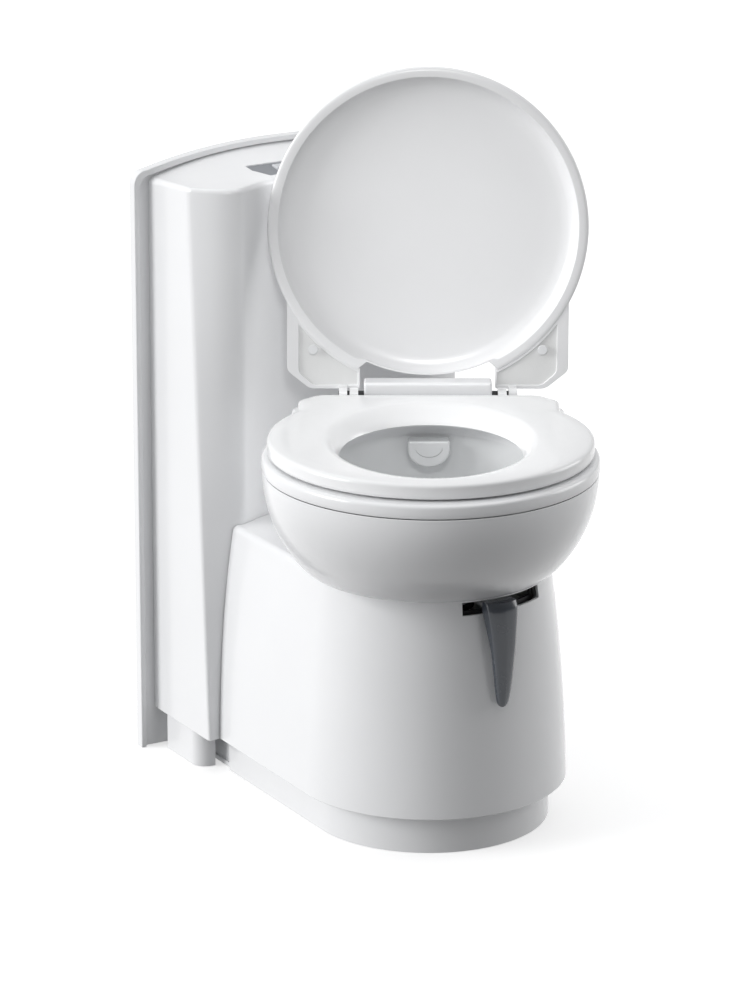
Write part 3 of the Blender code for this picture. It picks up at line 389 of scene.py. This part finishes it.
def curve_through(stations, count):
    """Smooth rows of numbers through a few given rows, count of them to each gap."""
    out = []
    last = len(stations) - 1
    for i in range(last):
        rows = [stations[at] for at in (max(i - 1, 0), i, i + 1, min(i + 2, last))]
        for k in range(count):
            t = k / count
            out.append([0.5 * (2 * b + (c - a) * t + (2 * a - 5 * b + 4 * c - d) * t ** 2
                               + (3 * b - a - 3 * c + d) * t ** 3) for a, b, c, d in zip(*rows)])
    out.append(list(stations[-1]))
    return out


# ---------------------------------------------------------------- console
def corner_y(z):
    """Front edge of the console's side."""
    share = (z - BODY_BOTTOM_Z) / (TOP_FRONT_Z - BODY_BOTTOM_Z)
    return CORNER_Y_LOW + (CORNER_Y_HIGH - CORNER_Y_LOW) * share


def front_y(x, z):
    """Front face of the console, with its ridge softened."""
    ridge = math.sqrt(TROUGH_R ** 2 - RIDGE_X ** 2)
    inner, outer = RIDGE_X - RIDGE_SOFT, RIDGE_X + RIDGE_SOFT
    x = abs(x)
    rise = corner_y(z) - ridge

    def facet(at):
        return ridge + rise * min((at - RIDGE_X) / (BODY_HALF_W - RIDGE_X), 1.0) ** 2
    if x <= inner:
        return math.sqrt(TROUGH_R ** 2 - x * x)
    if x >= outer:
        return facet(x)
    start, end = math.sqrt(TROUGH_R ** 2 - inner ** 2), facet(outer)
    slope_in = -inner / start * 2 * RIDGE_SOFT
    slope_out = 2 * rise * RIDGE_SOFT / (BODY_HALF_W - RIDGE_X) ** 2 * 2 * RIDGE_SOFT
    t = (x - inner) / (2 * RIDGE_SOFT)
    return ((2 * t ** 3 - 3 * t ** 2 + 1) * start + (t ** 3 - 2 * t ** 2 + t) * slope_in
            + (3 * t ** 2 - 2 * t ** 3) * end + (t ** 3 - t ** 2) * slope_out)


def arch_z(x):
    """Back line of the console's top."""
    return ARCH_Z - FLANGE_RIM_W - 0.0015 - 0.026 * (abs(x) / BODY_HALF_W) ** 2.4


def top_z(x, y):
    """Height of the console's top."""
    front = front_y(x, TOP_FRONT_Z)
    share = (y - front) / (FLANGE_FLOOR_Y - front)
    return TOP_FRONT_Z + (arch_z(x) - TOP_FRONT_Z) * share


def console_line(z, inset, back):
    """The console's plan from the back left, round the front, to the back right."""
    half = BODY_HALF_W - inset
    places = [0.012 * i for i in range(10)] + [0.1215, 0.1255, 0.1285, 0.1315, 0.1345, 0.1385]
    places += [0.146, 0.154, 0.162, 0.170, 0.178, half]
    xs = [-x for x in reversed(places[1:])] + places
    line = [(-half, back)] + [(x, front_y(x, z) + inset) for x in xs] + [(half, back)]
    return rounded(line, {1: CORNER_EASE, len(line) - 2: CORNER_EASE})


def make_console():
    """Side walls, hollow front and top in one moulding with soft edges."""
    back = FLANGE_FLOOR_Y - GAP
    foot_edge = 0.0008
    rings = [[(x, y, BODY_BOTTOM_Z) for x, y in console_line(BODY_BOTTOM_Z, foot_edge, back)]]
    for i in range(13):
        z = BODY_BOTTOM_Z + foot_edge + (TOP_EDGE_Z - BODY_BOTTOM_Z) * i / 12
        rings.append([(x, y, z) for x, y in console_line(z, 0.0, back)])
    for turn in angles(0, 90, 7):
        line = console_line(TOP_FRONT_Z, TOP_EDGE_R * (1 - math.cos(turn)), back)
        rings.append([(x, y, top_z(x, y) - TOP_EDGE_R * (1 - math.sin(turn))) for x, y in line])
    bm, rows = rows_of(rings, loop=False)
    edge_row = rows[-1]
    rear = [bm.verts.new((v.co.x, back, top_z(v.co.x, back))) for v in edge_row[2:-2]]
    rear = [edge_row[0]] + rear + [edge_row[-1]]
    for i, (a, b) in enumerate(zip(edge_row[1:-1], edge_row[2:-1])):
        bm.faces.new((a, b, rear[i + 1], rear[i]))
    cover = add("console_casing", bm, WHITE)
    thicken(cover)
    boolean(cover, box("bay", (-BAY_HALF_W, 0.15, 0.0), (BAY_HALF_W, 0.30, BAY_TOP_Z)))
    boolean(cover, panel_prism("panel_hole", 0.0, -0.02, 0.02))
    place_piece(cover, "console", "white_gloss", "console_cover")


def flange_outline(half_w, drop):
    """The arched outline of the back plate, seen from the front."""
    high = FLANGE_CORNER_Z - drop
    corner, steps = FLANGE_CORNER_R, 22
    flat = half_w - corner
    right = [(half_w, 0.0), (half_w, high - corner)]
    for turn in angles(0, 90, 8)[1:-1]:
        right.append((half_w - corner * (1 - math.cos(turn)), high - corner * (1 - math.sin(turn))))
    for i in range(steps):
        x = flat * (1 - i / steps)
        right.append((x, high + (ARCH_Z - FLANGE_CORNER_Z) * (1 - (x / flat) ** 2.2)))
    left = [(-x, z) for x, z in reversed(right)]
    return right + [(0.0, ARCH_Z - drop)] + left


def make_flange():
    """Stepped wall flange with a rounded rim."""
    outer = flange_outline(FLANGE_HALF_W, 0.0)
    inner = flange_outline(FLANGE_HALF_W - FLANGE_RIM_W, FLANGE_RIM_W)
    inner = [(x, z if z > 0 else -0.01) for x, z in inner]
    flange = skin("wall_flange", [upright(outer, WALL_Y), upright(outer, FLANGE_RIM_Y)], WHITE)
    pocket = skin("pocket", [upright(inner, FLANGE_FLOOR_Y), upright(inner, FLANGE_RIM_Y - 0.01)])
    boolean(flange, pocket)
    half = BAY_HALF_W + 0.006
    boolean(flange, box("flange_bay", (-half, 0.34, -0.01), (half, 0.39, BAY_TOP_Z)))
    boolean(flange, rod("fill_hole", (FILLER_X, 0.34, FILLER_Z), "Y", 0.05, FILLER_HOLE_R))
    soften(flange, 0.0014, 3, 40)
    place_piece(flange, "console", "white_gloss", "back_frame")


def panel_prism(name, inset, low, high, mat=None):
    """The control panel's plan between two depths measured from the console's top."""
    half, back = PANEL_HALF_W - inset, PANEL_BACK_Y - inset
    front = [(-half, 0.285), (-0.070 + inset, 0.262 + inset), (-0.036, 0.270 + inset), (0.0, 0.272 + inset),
             (0.036, 0.270 + inset), (0.070 - inset, 0.262 + inset), (half, 0.285)]
    plan = front + [(x, back) for x, _ in reversed(front)]
    return skin(name, [[(x, y, top_z(x, y) + depth) for x, y in plan] for depth in (low, high)], mat)


def make_panel():
    """Grey tray in the top with the flush key and the level window."""
    z = top_z(*BUTTON_AT)
    tray = panel_prism("control_tray", GAP, -0.007, -TRAY_SINK, PANEL)
    boolean(tray, pane("key_hole", KEY_PLAN, z - 0.02, z + 0.02, 0.0005))
    boolean(tray, pane("lens_hole", WINDOW_PLAN, z - 0.02, z + 0.02, 0.0005))
    soften(tray, 0.0005, 2, 40)
    place_piece(tray, "console", "panel_grey", "control_panel")
    key = pane("flush_key_cap", KEY_PLAN, z - 0.007, z + 0.0015, mat=KEY)
    soften(key, 0.0016, 4)
    boolean(key, rod("key_dish", (*BUTTON_AT, z + 0.0149), "Z", 0.02, 0.0055))
    place_piece(key, "flush_key", "panel_grey", "flush_button")
    window = pane("level_window", WINDOW_PLAN, z - 0.007, z - 0.0004, mat=LENS)
    soften(window, 0.0006, 3)
    place_piece(window, "console", "clear_lens", "level_lens")


# ---------------------------------------------------------------- pedestal and plinths
def pedestal_radius(z):
    """The pedestal narrows towards the deck."""
    share = (z - BODY_BOTTOM_Z) / (DECK_Z - BODY_BOTTOM_Z)
    return SHELL_R_LOW - (SHELL_R_LOW - SHELL_R_HIGH) * (0.45 * share + 0.55 * share ** 2.6)


def pedestal_line(z, radius, inset=0.0):
    """Plan of the pedestal from the rear left, round the front, to the rear right."""
    radius -= inset
    rear = front_y(radius, z) - SEAM
    side = [(radius, rear * t) for t in (0.25, 0.5, 0.75, 1.0)]
    front = [(radius * math.sin(t), -radius * math.cos(t)) for t in angles(-90, 90, 72)]
    return [(-x, y) for x, y in reversed(side)] + front + side


def make_pedestal():
    """Tapered casing with a soft-edged deck, a turned-in foot and the lever's slot."""
    foot_edge = 0.0012
    rings = [[(x, y, BODY_BOTTOM_Z) for x, y in pedestal_line(BODY_BOTTOM_Z, PLINTH_R - 0.004)]]
    rings.append([(x, y, BODY_BOTTOM_Z) for x, y in pedestal_line(BODY_BOTTOM_Z, SHELL_R_LOW, foot_edge)])
    top = DECK_Z - DECK_EDGE_R
    for i in range(19):
        z = BODY_BOTTOM_Z + foot_edge + (top - BODY_BOTTOM_Z - foot_edge) * i / 18
        rings.append([(x, y, z) for x, y in pedestal_line(z, pedestal_radius(z))])
    for turn in angles(0, 90, 8)[1:]:
        z = top + DECK_EDGE_R * math.sin(turn)
        line = pedestal_line(z, pedestal_radius(top), DECK_EDGE_R * (1 - math.cos(turn)))
        rings.append([(x, y, z) for x, y in line])
    bm, rows = rows_of(rings, loop=False)
    last = rows[-1]
    reach = last[-1].co.x
    xs = [reach * math.cos(math.pi * i / 24) for i in range(1, 24)]
    rear = [bm.verts.new((x, front_y(x, DECK_Z) - SEAM, DECK_Z)) for x in xs]
    bm.faces.new(last + rear)
    shell = add("pedestal_casing", bm, WHITE)
    thicken(shell)
    boolean(shell, rod("deck_hole", (0, 0, 0.30), "Z", 0.05, DECK_HOLE_R, sides=72))
    boolean(shell, slot_bar("lever_slot", 0.120, 0.175, 0.2985, 0.3145, 0.0))
    place_piece(shell, "console", "white_gloss", "pedestal_shell")


def slot_bar(name, inner, outer, z_low, z_high, longer, mat=None):
    """A curved bar that follows the lever's slot, longer by an angle at each end."""
    start, end = SLOT_FROM - longer, SLOT_TO + longer
    steps = [start + (end - start) * i / 24 for i in range(25)]
    out = [(outer * math.sin(t), -outer * math.cos(t)) for t in steps]
    back = [(inner * math.sin(t), -inner * math.cos(t)) for t in reversed(steps)]
    return prism(name, out + back, z_low, z_high, mat)


def make_slot_shade_liner():
    """Near-black liner behind the lever's slot; its colour is painted shade for the recess the slot opens
    into.
    """
    # the liner's near-black colour is painted shade, darkening the slot's recess whatever the lights do
    liner = slot_bar("slot_shade_liner", 0.1365, 0.1400, 0.2955, 0.3165, 0.03, DARK)
    boolean(liner, slot_bar("liner_slot", 0.120, 0.175, 0.3010, 0.3110, -0.02))
    soften(liner, 0.0004, 2, 40)
    place_piece(liner, "console", "dark_plastic", "lever_bezel")


def make_plinths():
    """Recessed kick strips round the pedestal and beside it."""
    front = [(PLINTH_R * math.sin(t), -PLINTH_R * math.cos(t)) for t in angles(-90, 90, 72)]
    outer = [(-PLINTH_R, PLINTH_BACK_Y)] + front + [(PLINTH_R, PLINTH_BACK_Y)]
    inner = [(x * 0.973, y * 0.973 if y < 0 else y) for x, y in reversed(outer)]
    strip = prism("kick_strip_front", outer + inner, 0.0, PLINTH_H, WHITE)
    soften(strip, 0.0009, 2, 40)
    place_piece(strip, "console", "white_gloss", "plinth_front")
    corner = [(0.160 + 0.020 * math.cos(t), 0.277 - 0.020 * math.sin(t)) for t in angles(0, 90, 14)]
    plan = [(0.180, 0.342)] + corner + [(0.156, 0.257), (0.156, 0.342)]
    for side, sign in (("left", -1), ("right", 1)):
        foot = prism(f"kick_strip_{side}", [(sign * x, y) for x, y in plan], 0.0, PLINTH_H, WHITE)
        soften(foot, 0.0009, 2, 40)
        place_piece(foot, "console", "white_gloss", f"plinth_{side}")


# ---------------------------------------------------------------- bowl
def shouldered(a, b, centre_y, shoulder_x, back_y, corner, z):
    """Round front, straight shoulders and a chamfered straight back, with its corners eased."""
    sides, ease_steps = 96, 5
    end = math.pi - math.asin(shoulder_x / a)
    near = end - 0.06
    steps = [-near + 2 * near * i / sides for i in range(sides + 1)]
    arc = [(a * math.sin(t), centre_y - b * math.cos(t)) for t in steps]
    join_y = centre_y - b * math.cos(end)
    line = [(-shoulder_x, join_y)] + arc + [(shoulder_x, join_y), (shoulder_x, back_y - corner),
                                            (shoulder_x - corner, back_y), (corner - shoulder_x, back_y),
                                            (-shoulder_x, back_y - corner)]
    last = len(line) - 1
    eased = {0: 0.010, last - 4: 0.010, last - 3: 0.008, last - 2: 0.008, last - 1: 0.008, last: 0.008}
    smooth = rounded(line, eased, ease_steps)
    # the five straight edges, from the last one back, are cut into this many parts
    end_of_line = len(smooth) - 1
    for edge, parts in enumerate((4, 2, 32, 2, 4)):
        at = end_of_line - edge * (ease_steps + 1)
        here, after = Vector(smooth[at]), Vector(smooth[(at + 1) % len(smooth)])
        smooth[at + 1:at + 1] = [tuple(here.lerp(after, k / parts)) for k in range(1, parts)]
    return [(x, y, z) for x, y in smooth]


def facing(ring, a, b, centre_y, z):
    """Points on an ellipse, one for each point of the ring, straight in from it."""
    out = []
    for x, y, _ in ring:
        turn = math.atan2(x / a, -(y - centre_y) / b)
        out.append((a * math.sin(turn), centre_y - b * math.cos(turn), z))
    return out


def bowl_ring(share, inset, z):
    """Outer bowl: share 0 is its foot, share 1 its top edge."""
    swell = math.sin(math.pi / 2 * share) ** 0.75 if share > 0 else 0.0

    def mix(low, high):
        return low + (high - low) * swell
    return shouldered(mix(0.144, 0.1985) - inset, mix(0.146, 0.2045) - inset, mix(-0.049, -0.0925),
                      mix(0.090, 0.165) - inset, mix(0.095, 0.125) - inset, mix(0.032, 0.022), z)


def make_bowl():
    """Outer bowl with a soft foot, open on top."""
    height, edge = BOWL_TOP_Z - GAP - BOWL_BOTTOM_Z, 0.0008
    foot = bowl_ring(0.0, 0.003, BOWL_BOTTOM_Z)
    rings = [facing(foot, BOWL_HOLE_R, BOWL_HOLE_R, 0.0, BOWL_BOTTOM_Z), foot]
    rings.append(bowl_ring(0.0, edge, BOWL_BOTTOM_Z + 0.0010))
    for i in range(1, 29):
        share = 0.012 + 0.988 * (i / 28) ** 1.25
        rings.append(bowl_ring(share, 0.0, BOWL_BOTTOM_Z + height * share))
    rings[-1] = [(x, y, z - edge) for x, y, z in rings[-1]]
    rings.append(bowl_ring(1.0, edge, BOWL_BOTTOM_Z + height))
    bm, _ = rows_of(rings)
    shell = add("bowl_casing", bm, WHITE)
    thicken(shell)
    shell.data.transform(BOWL)
    place_piece(shell, "bowl", "white_gloss", "bowl_shell", "bowl_foot")


# height, half width, half length and middle of the basin's inner wall, top to bottom
BASIN = ((0.4652, 0.130, 0.150, -0.100), (0.440, 0.128, 0.147, -0.0985), (0.410, 0.120, 0.138, -0.092),
         (0.380, 0.102, 0.117, -0.070), (0.358, 0.075, 0.085, -0.037), (0.345, 0.055, 0.058, -0.008),
         (0.336, 0.048, 0.048, 0.0), (0.305, 0.048, 0.048, 0.0), (0.2730, 0.048, 0.048, 0.0))


def make_basin():
    """Inner bowl and outlet neck in one glossy skin."""
    smooth = curve_through(BASIN, 6)
    inside = [oval(a, b, middle, z) for z, a, b, middle in reversed(smooth)]
    outside = [oval(a + WALL, b + WALL, middle, z) for z, a, b, middle in smooth[3:]]
    top, half_w, half_l, middle = BASIN[0]
    lip = [oval(half_w + 0.020, half_l + 0.020, middle, z) for z in (top, top - WALL)]
    lip.append(oval(half_w + WALL, half_l + WALL, middle, top - WALL))
    basin = skin("basin_skin", inside + lip + outside, BASIN_WHITE, BOWL, closed=True)
    place_piece(basin, "bowl", "white_gloss", "bowl_basin", "outlet_neck", sharp=50)


def make_rim():
    """Band between the two grooves under the seat."""
    low, high = BOWL_TOP_Z, RIM_TOP_Z
    # how far in and how high up each ring of the outside lies
    steps = ((0.0034, 0.0), (0.0010, 0.0010), (0.0, 0.0030), (0.0, 0.0080), (0.0002, 0.0120),
             (0.0007, 0.0142), (0.0018, 0.0157), (0.0036, 0.0167), (0.0065, 0.0170))
    rings = [shouldered(0.1995 - i, 0.2052 - i, -0.0925, 0.166 - i, 0.126 - i, 0.022, low + z)
             for i, z in steps]
    hole = [facing(rings[-1], a, b, -0.100, z) for a, b, z in
            ((0.1285, 0.1485, high), (0.1270, 0.1470, high - 0.0015), (0.1270, 0.1470, low))]
    band = skin("rim_band_skin", rings + hole, WHITE, BOWL, closed=True)
    place_piece(band, "bowl", "white_gloss", "rim_band")


def make_nozzle():
    """Rounded hood on the basin's rear wall."""
    under = angles(0, -180, 24)
    plan = [(0.0255 * math.cos(t), 0.4525 + 0.0215 * math.sin(t)) for t in under]
    plan = [(0.0255, 0.4640)] + plan + [(-0.0255, 0.4640)]
    hood = skin("nozzle_hood", [upright(plan, 0.0400), upright(plan, 0.0200)], BASIN_WHITE)
    soften(hood, 0.0028, 4, 40)
    boolean(hood, box("mouth", (-0.019, 0.0235, 0.40), (0.019, 0.0365, 0.452)))
    lip_z = 0.4560
    lip = [(0.0165 * math.cos(t), lip_z + 0.0125 * math.sin(t)) for t in under]
    lip += [(x * 0.94, lip_z + (z - lip_z) * 0.93) for x, z in reversed(lip)]
    boolean(hood, skin("hood_line", [upright(lip, y) for y in (0.0215, 0.0190)]))
    hood.data.transform(BOWL)
    place_piece(hood, "bowl", "white_gloss", "flush_nozzle")


def make_hinge():
    """Fixed bar between the lid's ears, with a parting line across its front."""
    low, high = (-BAR_HALF_W, 0.1010, RIM_TOP_Z + GAP), (BAR_HALF_W, 0.127, 0.5135)
    bar = box("hinge_bar_skin", low, high, WHITE)
    soften(bar, 0.0034, 5)
    boolean(bar, box("parting", (-0.08, 0.0990, 0.4988), (0.08, 0.1016, 0.4995)))
    for start in (-BAR_BORE_X - BAR_BORE_DEEP, BAR_BORE_X):
        boolean(bar, rod("bar_bore", (start, HINGE_Y, HINGE_Z), "X", BAR_BORE_DEEP, HINGE_BORE_R))
    bar.data.transform(BOWL)
    place_piece(bar, "bowl", "white_gloss", "hinge_bar")


def lug(target, sign, span, low, high):
    """Joins on an arm that reaches the hinge axis, and bores it; low and high are (y, z) corners."""
    x0, x1 = span if sign > 0 else (-span[1], -span[0])
    boolean(target, box("arm", (x0, low[0], low[1]), (x1, high[0], high[1])), "UNION")
    boolean(target, rod("knuckle", (x0, 0, 0), "X", x1 - x0, KNUCKLE_R), "UNION")
    boolean(target, rod("bore", (x0 - 0.002, 0, 0), "X", x1 - x0 + 0.004, HINGE_BORE_R))


def make_seat():
    """Seat ring with a crowned top and a wide bevel into its opening."""
    low, high = SEAT_BOTTOM_Z, SEAT_TOP_Z

    def outline(i, z):
        return shouldered(SEAT_R - i, SEAT_R - i, SEAT_CENTRE_Y, 0.158 - i, 0.0900 - i, 0.022, z)
    # how far in and how high each ring of the outside lies
    outer = ((0.0050, low), (0.0022, low + 0.0006), (0.0006, low + 0.0022), (0.0, low + 0.0050),
             (0.0, high - 0.0072), (0.0004, high - 0.0048), (0.0015, high - 0.0031), (0.0034, high - 0.0019),
             (0.0062, high - 0.0012), (0.0120, high - 0.0005), (0.0200, high))
    rings = [outline(i, z) for i, z in outer]
    # half width, half length, middle and height of each ring of the opening
    inner = ((0.1270, 0.1600, -0.1030, high), (0.1225, 0.1540, -0.1037, high - 0.0007),
             (0.1185, 0.1480, -0.1045, high - 0.0028), (0.1150, 0.1410, -0.1062, high - 0.0065),
             (0.1115, 0.1340, -0.1088, high - 0.0110), (0.1090, 0.1292, -0.1108, high - 0.0150),
             (0.1080, 0.1270, -0.1120, low + 0.0016), (0.1095, 0.1285, -0.1120, low))
    rings += [facing(rings[-1], a, b, cy, z) for a, b, cy, z in inner]
    seat = skin("seat", rings, SEAT_WHITE, Matrix.Translation((0, -HINGE_Y, -HINGE_Z)), closed=True)
    for sign in (-1, 1):
        lug(seat, sign, (0.0850, 0.0955), (-0.025, -0.0070), (0.0, 0.0070))
    seat.data.transform(HINGE)
    place_piece(seat, "seat", "white_gloss", "seat_ring")


def dish_ring(radius, z, trim):
    """One ring of the lid's dish; between the hinge lugs the rim is trimmed back to a plain edge."""
    points = []
    for x, y, _ in oval(radius, radius, 0.0, 0.0, sides=192):
        if y > 0 and radius > trim:
            share = min(max((0.0850 - abs(x)) / 0.004, 0.0), 1.0)
            share = share * share * (3 - 2 * share)
            scale = 1 - share * (1 - (trim + (radius - trim) * 0.08) / radius)
            x, y = x * scale, y * scale
        points.append((x, y + SEAT_CENTRE_Y - HINGE_Y, z - HINGE_Z))
    return points


def ear_plan(outer_x, inner_x, radius, corners, eased, steps):
    """Plan of an ear: an arc round the dish's middle, then three corners, each eased by its own reach."""
    centre_y = SEAT_CENTRE_Y - HINGE_Y
    xs = [outer_x - (outer_x - inner_x) * i / 16 for i in range(17)]
    plan = [(x, centre_y + math.sqrt(radius ** 2 - x * x)) for x in xs]
    reach = {len(plan) + i: length for i, length in enumerate(eased)}
    return rounded(plan + corners, reach, steps)


def make_lid():
    """Round dish with a raised rim and two ears, modelled closed, then turned open."""
    rim, top = LID_RIM_Z, LID_RIM_Z + LID_DEPTH
    floor = top - 0.0035
    # radius and height of each ring, from the middle of the inside, over the rim, to the middle of the back
    profile = ((0.002, floor), (0.080, floor), (0.140, floor - 0.0002), (0.160, floor - 0.0010),
               (0.1695, floor - 0.0028), (0.1755, floor - 0.0062), (0.1792, rim + 0.0078),
               (0.1812, rim + 0.0036), (0.1822, rim + 0.0010), (0.1832, rim), (0.1850, rim - 0.0002),
               (0.1900, rim - 0.0002), (0.1930, rim + 0.0002), (0.1945, rim + 0.0014), (0.1952, rim + 0.0036),
               (0.1950, rim + 0.0058), (0.1926, rim + 0.0092), (0.1882, rim + 0.0147), (0.1800, rim + 0.0184),
               (0.1690, top - 0.0012), (0.1500, top - 0.0003), (0.1200, top), (0.0600, top), (0.002, top))
    rings = [dish_ring(radius, z, 0.1800 if z > rim + 0.003 or radius > 0.184 else 0.1788)
             for radius, z in profile]
    lid = skin("lid_dish", rings, LID_WHITE)
    low, high = rim + 0.0016 - HINGE_Z, rim + 0.0085 - HINGE_Z
    recess, inner_x = 0.0026, 0.0825
    ear = ear_plan(0.1717, inner_x, 0.188, [(inner_x, -0.0045), (0.144, -0.0045), (0.1717, -0.0265)],
                   (0.003, 0.006, 0.006), 5)
    dip = ear_plan(0.1575, 0.0852, 0.1975, [(0.0852, -0.0090), (0.1395, -0.0090), (0.1575, -0.0245)],
                   (0.0, 0.005, 0.005), 4)
    for sign in (-1, 1):
        wing = prism("wing", [(sign * x, y) for x, y in ear], low, high, LID_WHITE)
        boolean(wing, prism("dip", [(sign * x, y) for x, y in dip], low - 0.01, low + recess))
        soften(wing, 0.0008, 2, 40)
        boolean(lid, wing, "UNION")
        lug(lid, sign, (0.0985, 0.1085), (-0.0085, 0.0), (0.0078, 0.0180))
    lid.data.materials.append(GRAINED)
    for face in lid.data.polygons:
        middle = face.center
        grained = abs(middle.z - low - recess) < 0.0003 and face.normal.z < -0.9
        face.material_index = 1 if grained and abs(middle.x) > inner_x else 0
    lid.data.transform(LID)
    place_piece(lid, "lid", "white_gloss", "lid")


# ---------------------------------------------------------------- lever
def make_lever():
    """Tapered hanging blade with a soft ridge down its face."""
    # height, half width, and how far out its back and its face lie
    stations = ((0.3165, 0.0205, 0.1560, 0.1715), (0.3120, 0.0207, 0.1560, 0.1740),
                (0.3050, 0.0205, 0.1560, 0.1760), (0.2850, 0.0180, 0.1600, 0.1785),
                (0.2550, 0.0150, 0.1680, 0.1800), (0.2150, 0.0105, 0.1690, 0.1790),
                (0.1950, 0.0075, 0.1692, 0.1768), (0.1890, 0.0050, 0.1697, 0.1755),
                (0.1870, 0.0024, 0.1705, 0.1742))
    # the face's cross-section: places from edge to edge, and how far each falls back
    across = (-1.0, -0.93, -0.72, -0.42, -0.14, 0.0, 0.14, 0.42, 0.72, 0.93, 1.0)
    drop = (1.0, 0.62, 0.34, 0.15, 0.03, 0.0, 0.02, 0.10, 0.26, 0.58, 1.0)
    rings = []
    for z, half, inner, outer in curve_through(stations, 5):
        depth = min(0.0062, (outer - inner) * 0.55)
        front = [(half * u, -outer + depth * d, z) for u, d in zip(across, drop)]
        rings.append(front + [(half * 0.97, -inner, z), (-half * 0.97, -inner, z)])
    blade = skin("lever_blade", rings, SLATE)
    soften(blade, 0.0011, 3, 42)
    place_piece(blade, "lever", "slate_grey", "blade_lever", sharp=50)


# ---------------------------------------------------------------- finishes of the frame's own nodes
FINISH = {
    SATIN: ("base_plate", "swivel_collar", "swivel_retainer", "lever_ring", "blade_pinion", "filler_neck",
            "electronics_box", "hose_elbow", "lid_bumper_left", "lid_bumper_right"),
    TANK: ("cassette_lower", "cassette_upper", "mechanism_cover", "vent_collar", "pour_spout", "flush_tank",
           "flush_tank_lid"),
    SLATE: ("vent_button", "spout_cap", "carry_handle", "filler_cap"),
    PANEL: ("closing_blade",),
    DARK: ("deck_bearing", "wheel_left", "wheel_right", "flush_pump", "hinge_pin_left", "hinge_pin_right"),
    LENS: ("level_gauge",),
    RUBBER: ("seat_bumper_1", "seat_bumper_2", "seat_bumper_3", "seat_bumper_4", "lip_seal", "flush_hose"),
    STEEL: ("flange_screw_1", "flange_screw_2", "flange_screw_3", "flange_screw_4", "blade_shaft"),
}


def finish_nodes():
    """Gives every node that stays as it is its procedural material and slightly broken edges."""
    for mat, names in FINISH.items():
        for name in names:
            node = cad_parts[name]
            node.data.materials.clear()
            node.data.materials.append(mat)
            weld = node.modifiers.new("weld", "WELD")
            weld.merge_threshold = 0.00001
            bevel(node, 0.0006, 2, 45)


# ---------------------------------------------------------------- studio
def make_floor():
    """Plain pale floor that glows a little, so that it meets the pale surround without a line."""
    floor = box("studio_floor", (-30, -30, -0.02), (30, 30, -0.0002))
    mat, nodes, links, shader, place = graph("floor_paper")
    shader.inputs["Base Color"].default_value = (0.70, 0.70, 0.70, 1)
    shader.inputs["Emission Color"].default_value = (1, 1, 1, 1)
    shader.inputs["Emission Strength"].default_value = 0.50
    links.new(spread(nodes, links, noise(nodes, links, place, 3.0), 0.62, 0.78), shader.inputs["Roughness"])
    shader.inputs["Specular IOR Level"].default_value = 0.2
    floor.data.materials.append(mat)
    floor.visible_diffuse = False


def hang(light, comes_from, at=(0.0, 0.0, 0.0)):
    """Hangs a light that shines from the given direction."""
    lamp = bpy.data.objects.new(light.name, light)
    lamp.location = at
    lamp.rotation_euler = comes_from.to_track_quat("Z", "Y").to_euler()
    scene.collection.objects.link(lamp)


def make_lights():
    """A dim surround, brighter above and behind; broad lights left, right and above; one on the lid."""
    world = bpy.data.worlds.new("studio")
    scene.world = world
    world.use_nodes = True
    nodes, links = world.node_tree.nodes, world.node_tree.links
    ground = nodes["Background"]
    place = nodes.new("ShaderNodeTexCoord").outputs["Generated"]
    dot = nodes.new("ShaderNodeVectorMath")
    dot.operation = "DOT_PRODUCT"
    dot.inputs[1].default_value = BRIGHT_SIDE
    links.new(place, dot.inputs[0])
    ramp = nodes.new("ShaderNodeMapRange")
    ramp.interpolation_type = "SMOOTHSTEP"
    ramp.inputs["From Min"].default_value = -0.8
    ramp.inputs["From Max"].default_value = 1.0
    ramp.inputs["To Min"].default_value = 0.14
    ramp.inputs["To Max"].default_value = 0.72
    links.new(dot.outputs["Value"], ramp.inputs["Value"])
    seen = nodes.new("ShaderNodeLightPath").outputs["Is Camera Ray"]
    choose = nodes.new("ShaderNodeMix")
    links.new(seen, choose.inputs["Factor"])
    links.new(ramp.outputs["Result"], choose.inputs["A"])
    choose.inputs["B"].default_value = 1.0
    links.new(choose.outputs["Result"], ground.inputs["Strength"])
    ground.inputs["Color"].default_value = (0.985, 0.99, 1.0, 1)
    for name, comes_from, strength, width in SUNS:
        sun = bpy.data.lights.new(name, "SUN")
        sun.energy = strength
        sun.angle = math.radians(width)
        hang(sun, Vector(comes_from))
    spot = bpy.data.lights.new("lid_light", "SPOT")
    spot.energy = 27.0
    spot.spot_size = math.radians(30)
    spot.spot_blend = 1.0
    spot.shadow_soft_size = 0.18
    hang(spot, LID_LIGHT_AT - LID_LIGHT_AIM, LID_LIGHT_AT)


def make_camera():
    """The camera at the photograph's place."""
    data = bpy.data.cameras.new("camera")
    data.lens = FOCAL_MM
    data.sensor_width = SENSOR_MM
    camera = bpy.data.objects.new("camera", data)
    turn = Matrix((CAMERA_RIGHT, CAMERA_UP, CAMERA_BACK)).transposed().to_4x4()
    camera.matrix_world = Matrix.Translation(CAMERA_AT) @ turn
    scene.collection.objects.link(camera)
    scene.camera = camera


make_camera()
make_lights()
make_floor()
make_console()
make_flange()
make_panel()
make_pedestal()
make_slot_shade_liner()
make_plinths()
make_bowl()
make_basin()
make_rim()
make_nozzle()
make_hinge()
make_seat()
make_lid()
make_lever()
finish_nodes()
scene.view_settings.view_transform = "Standard"
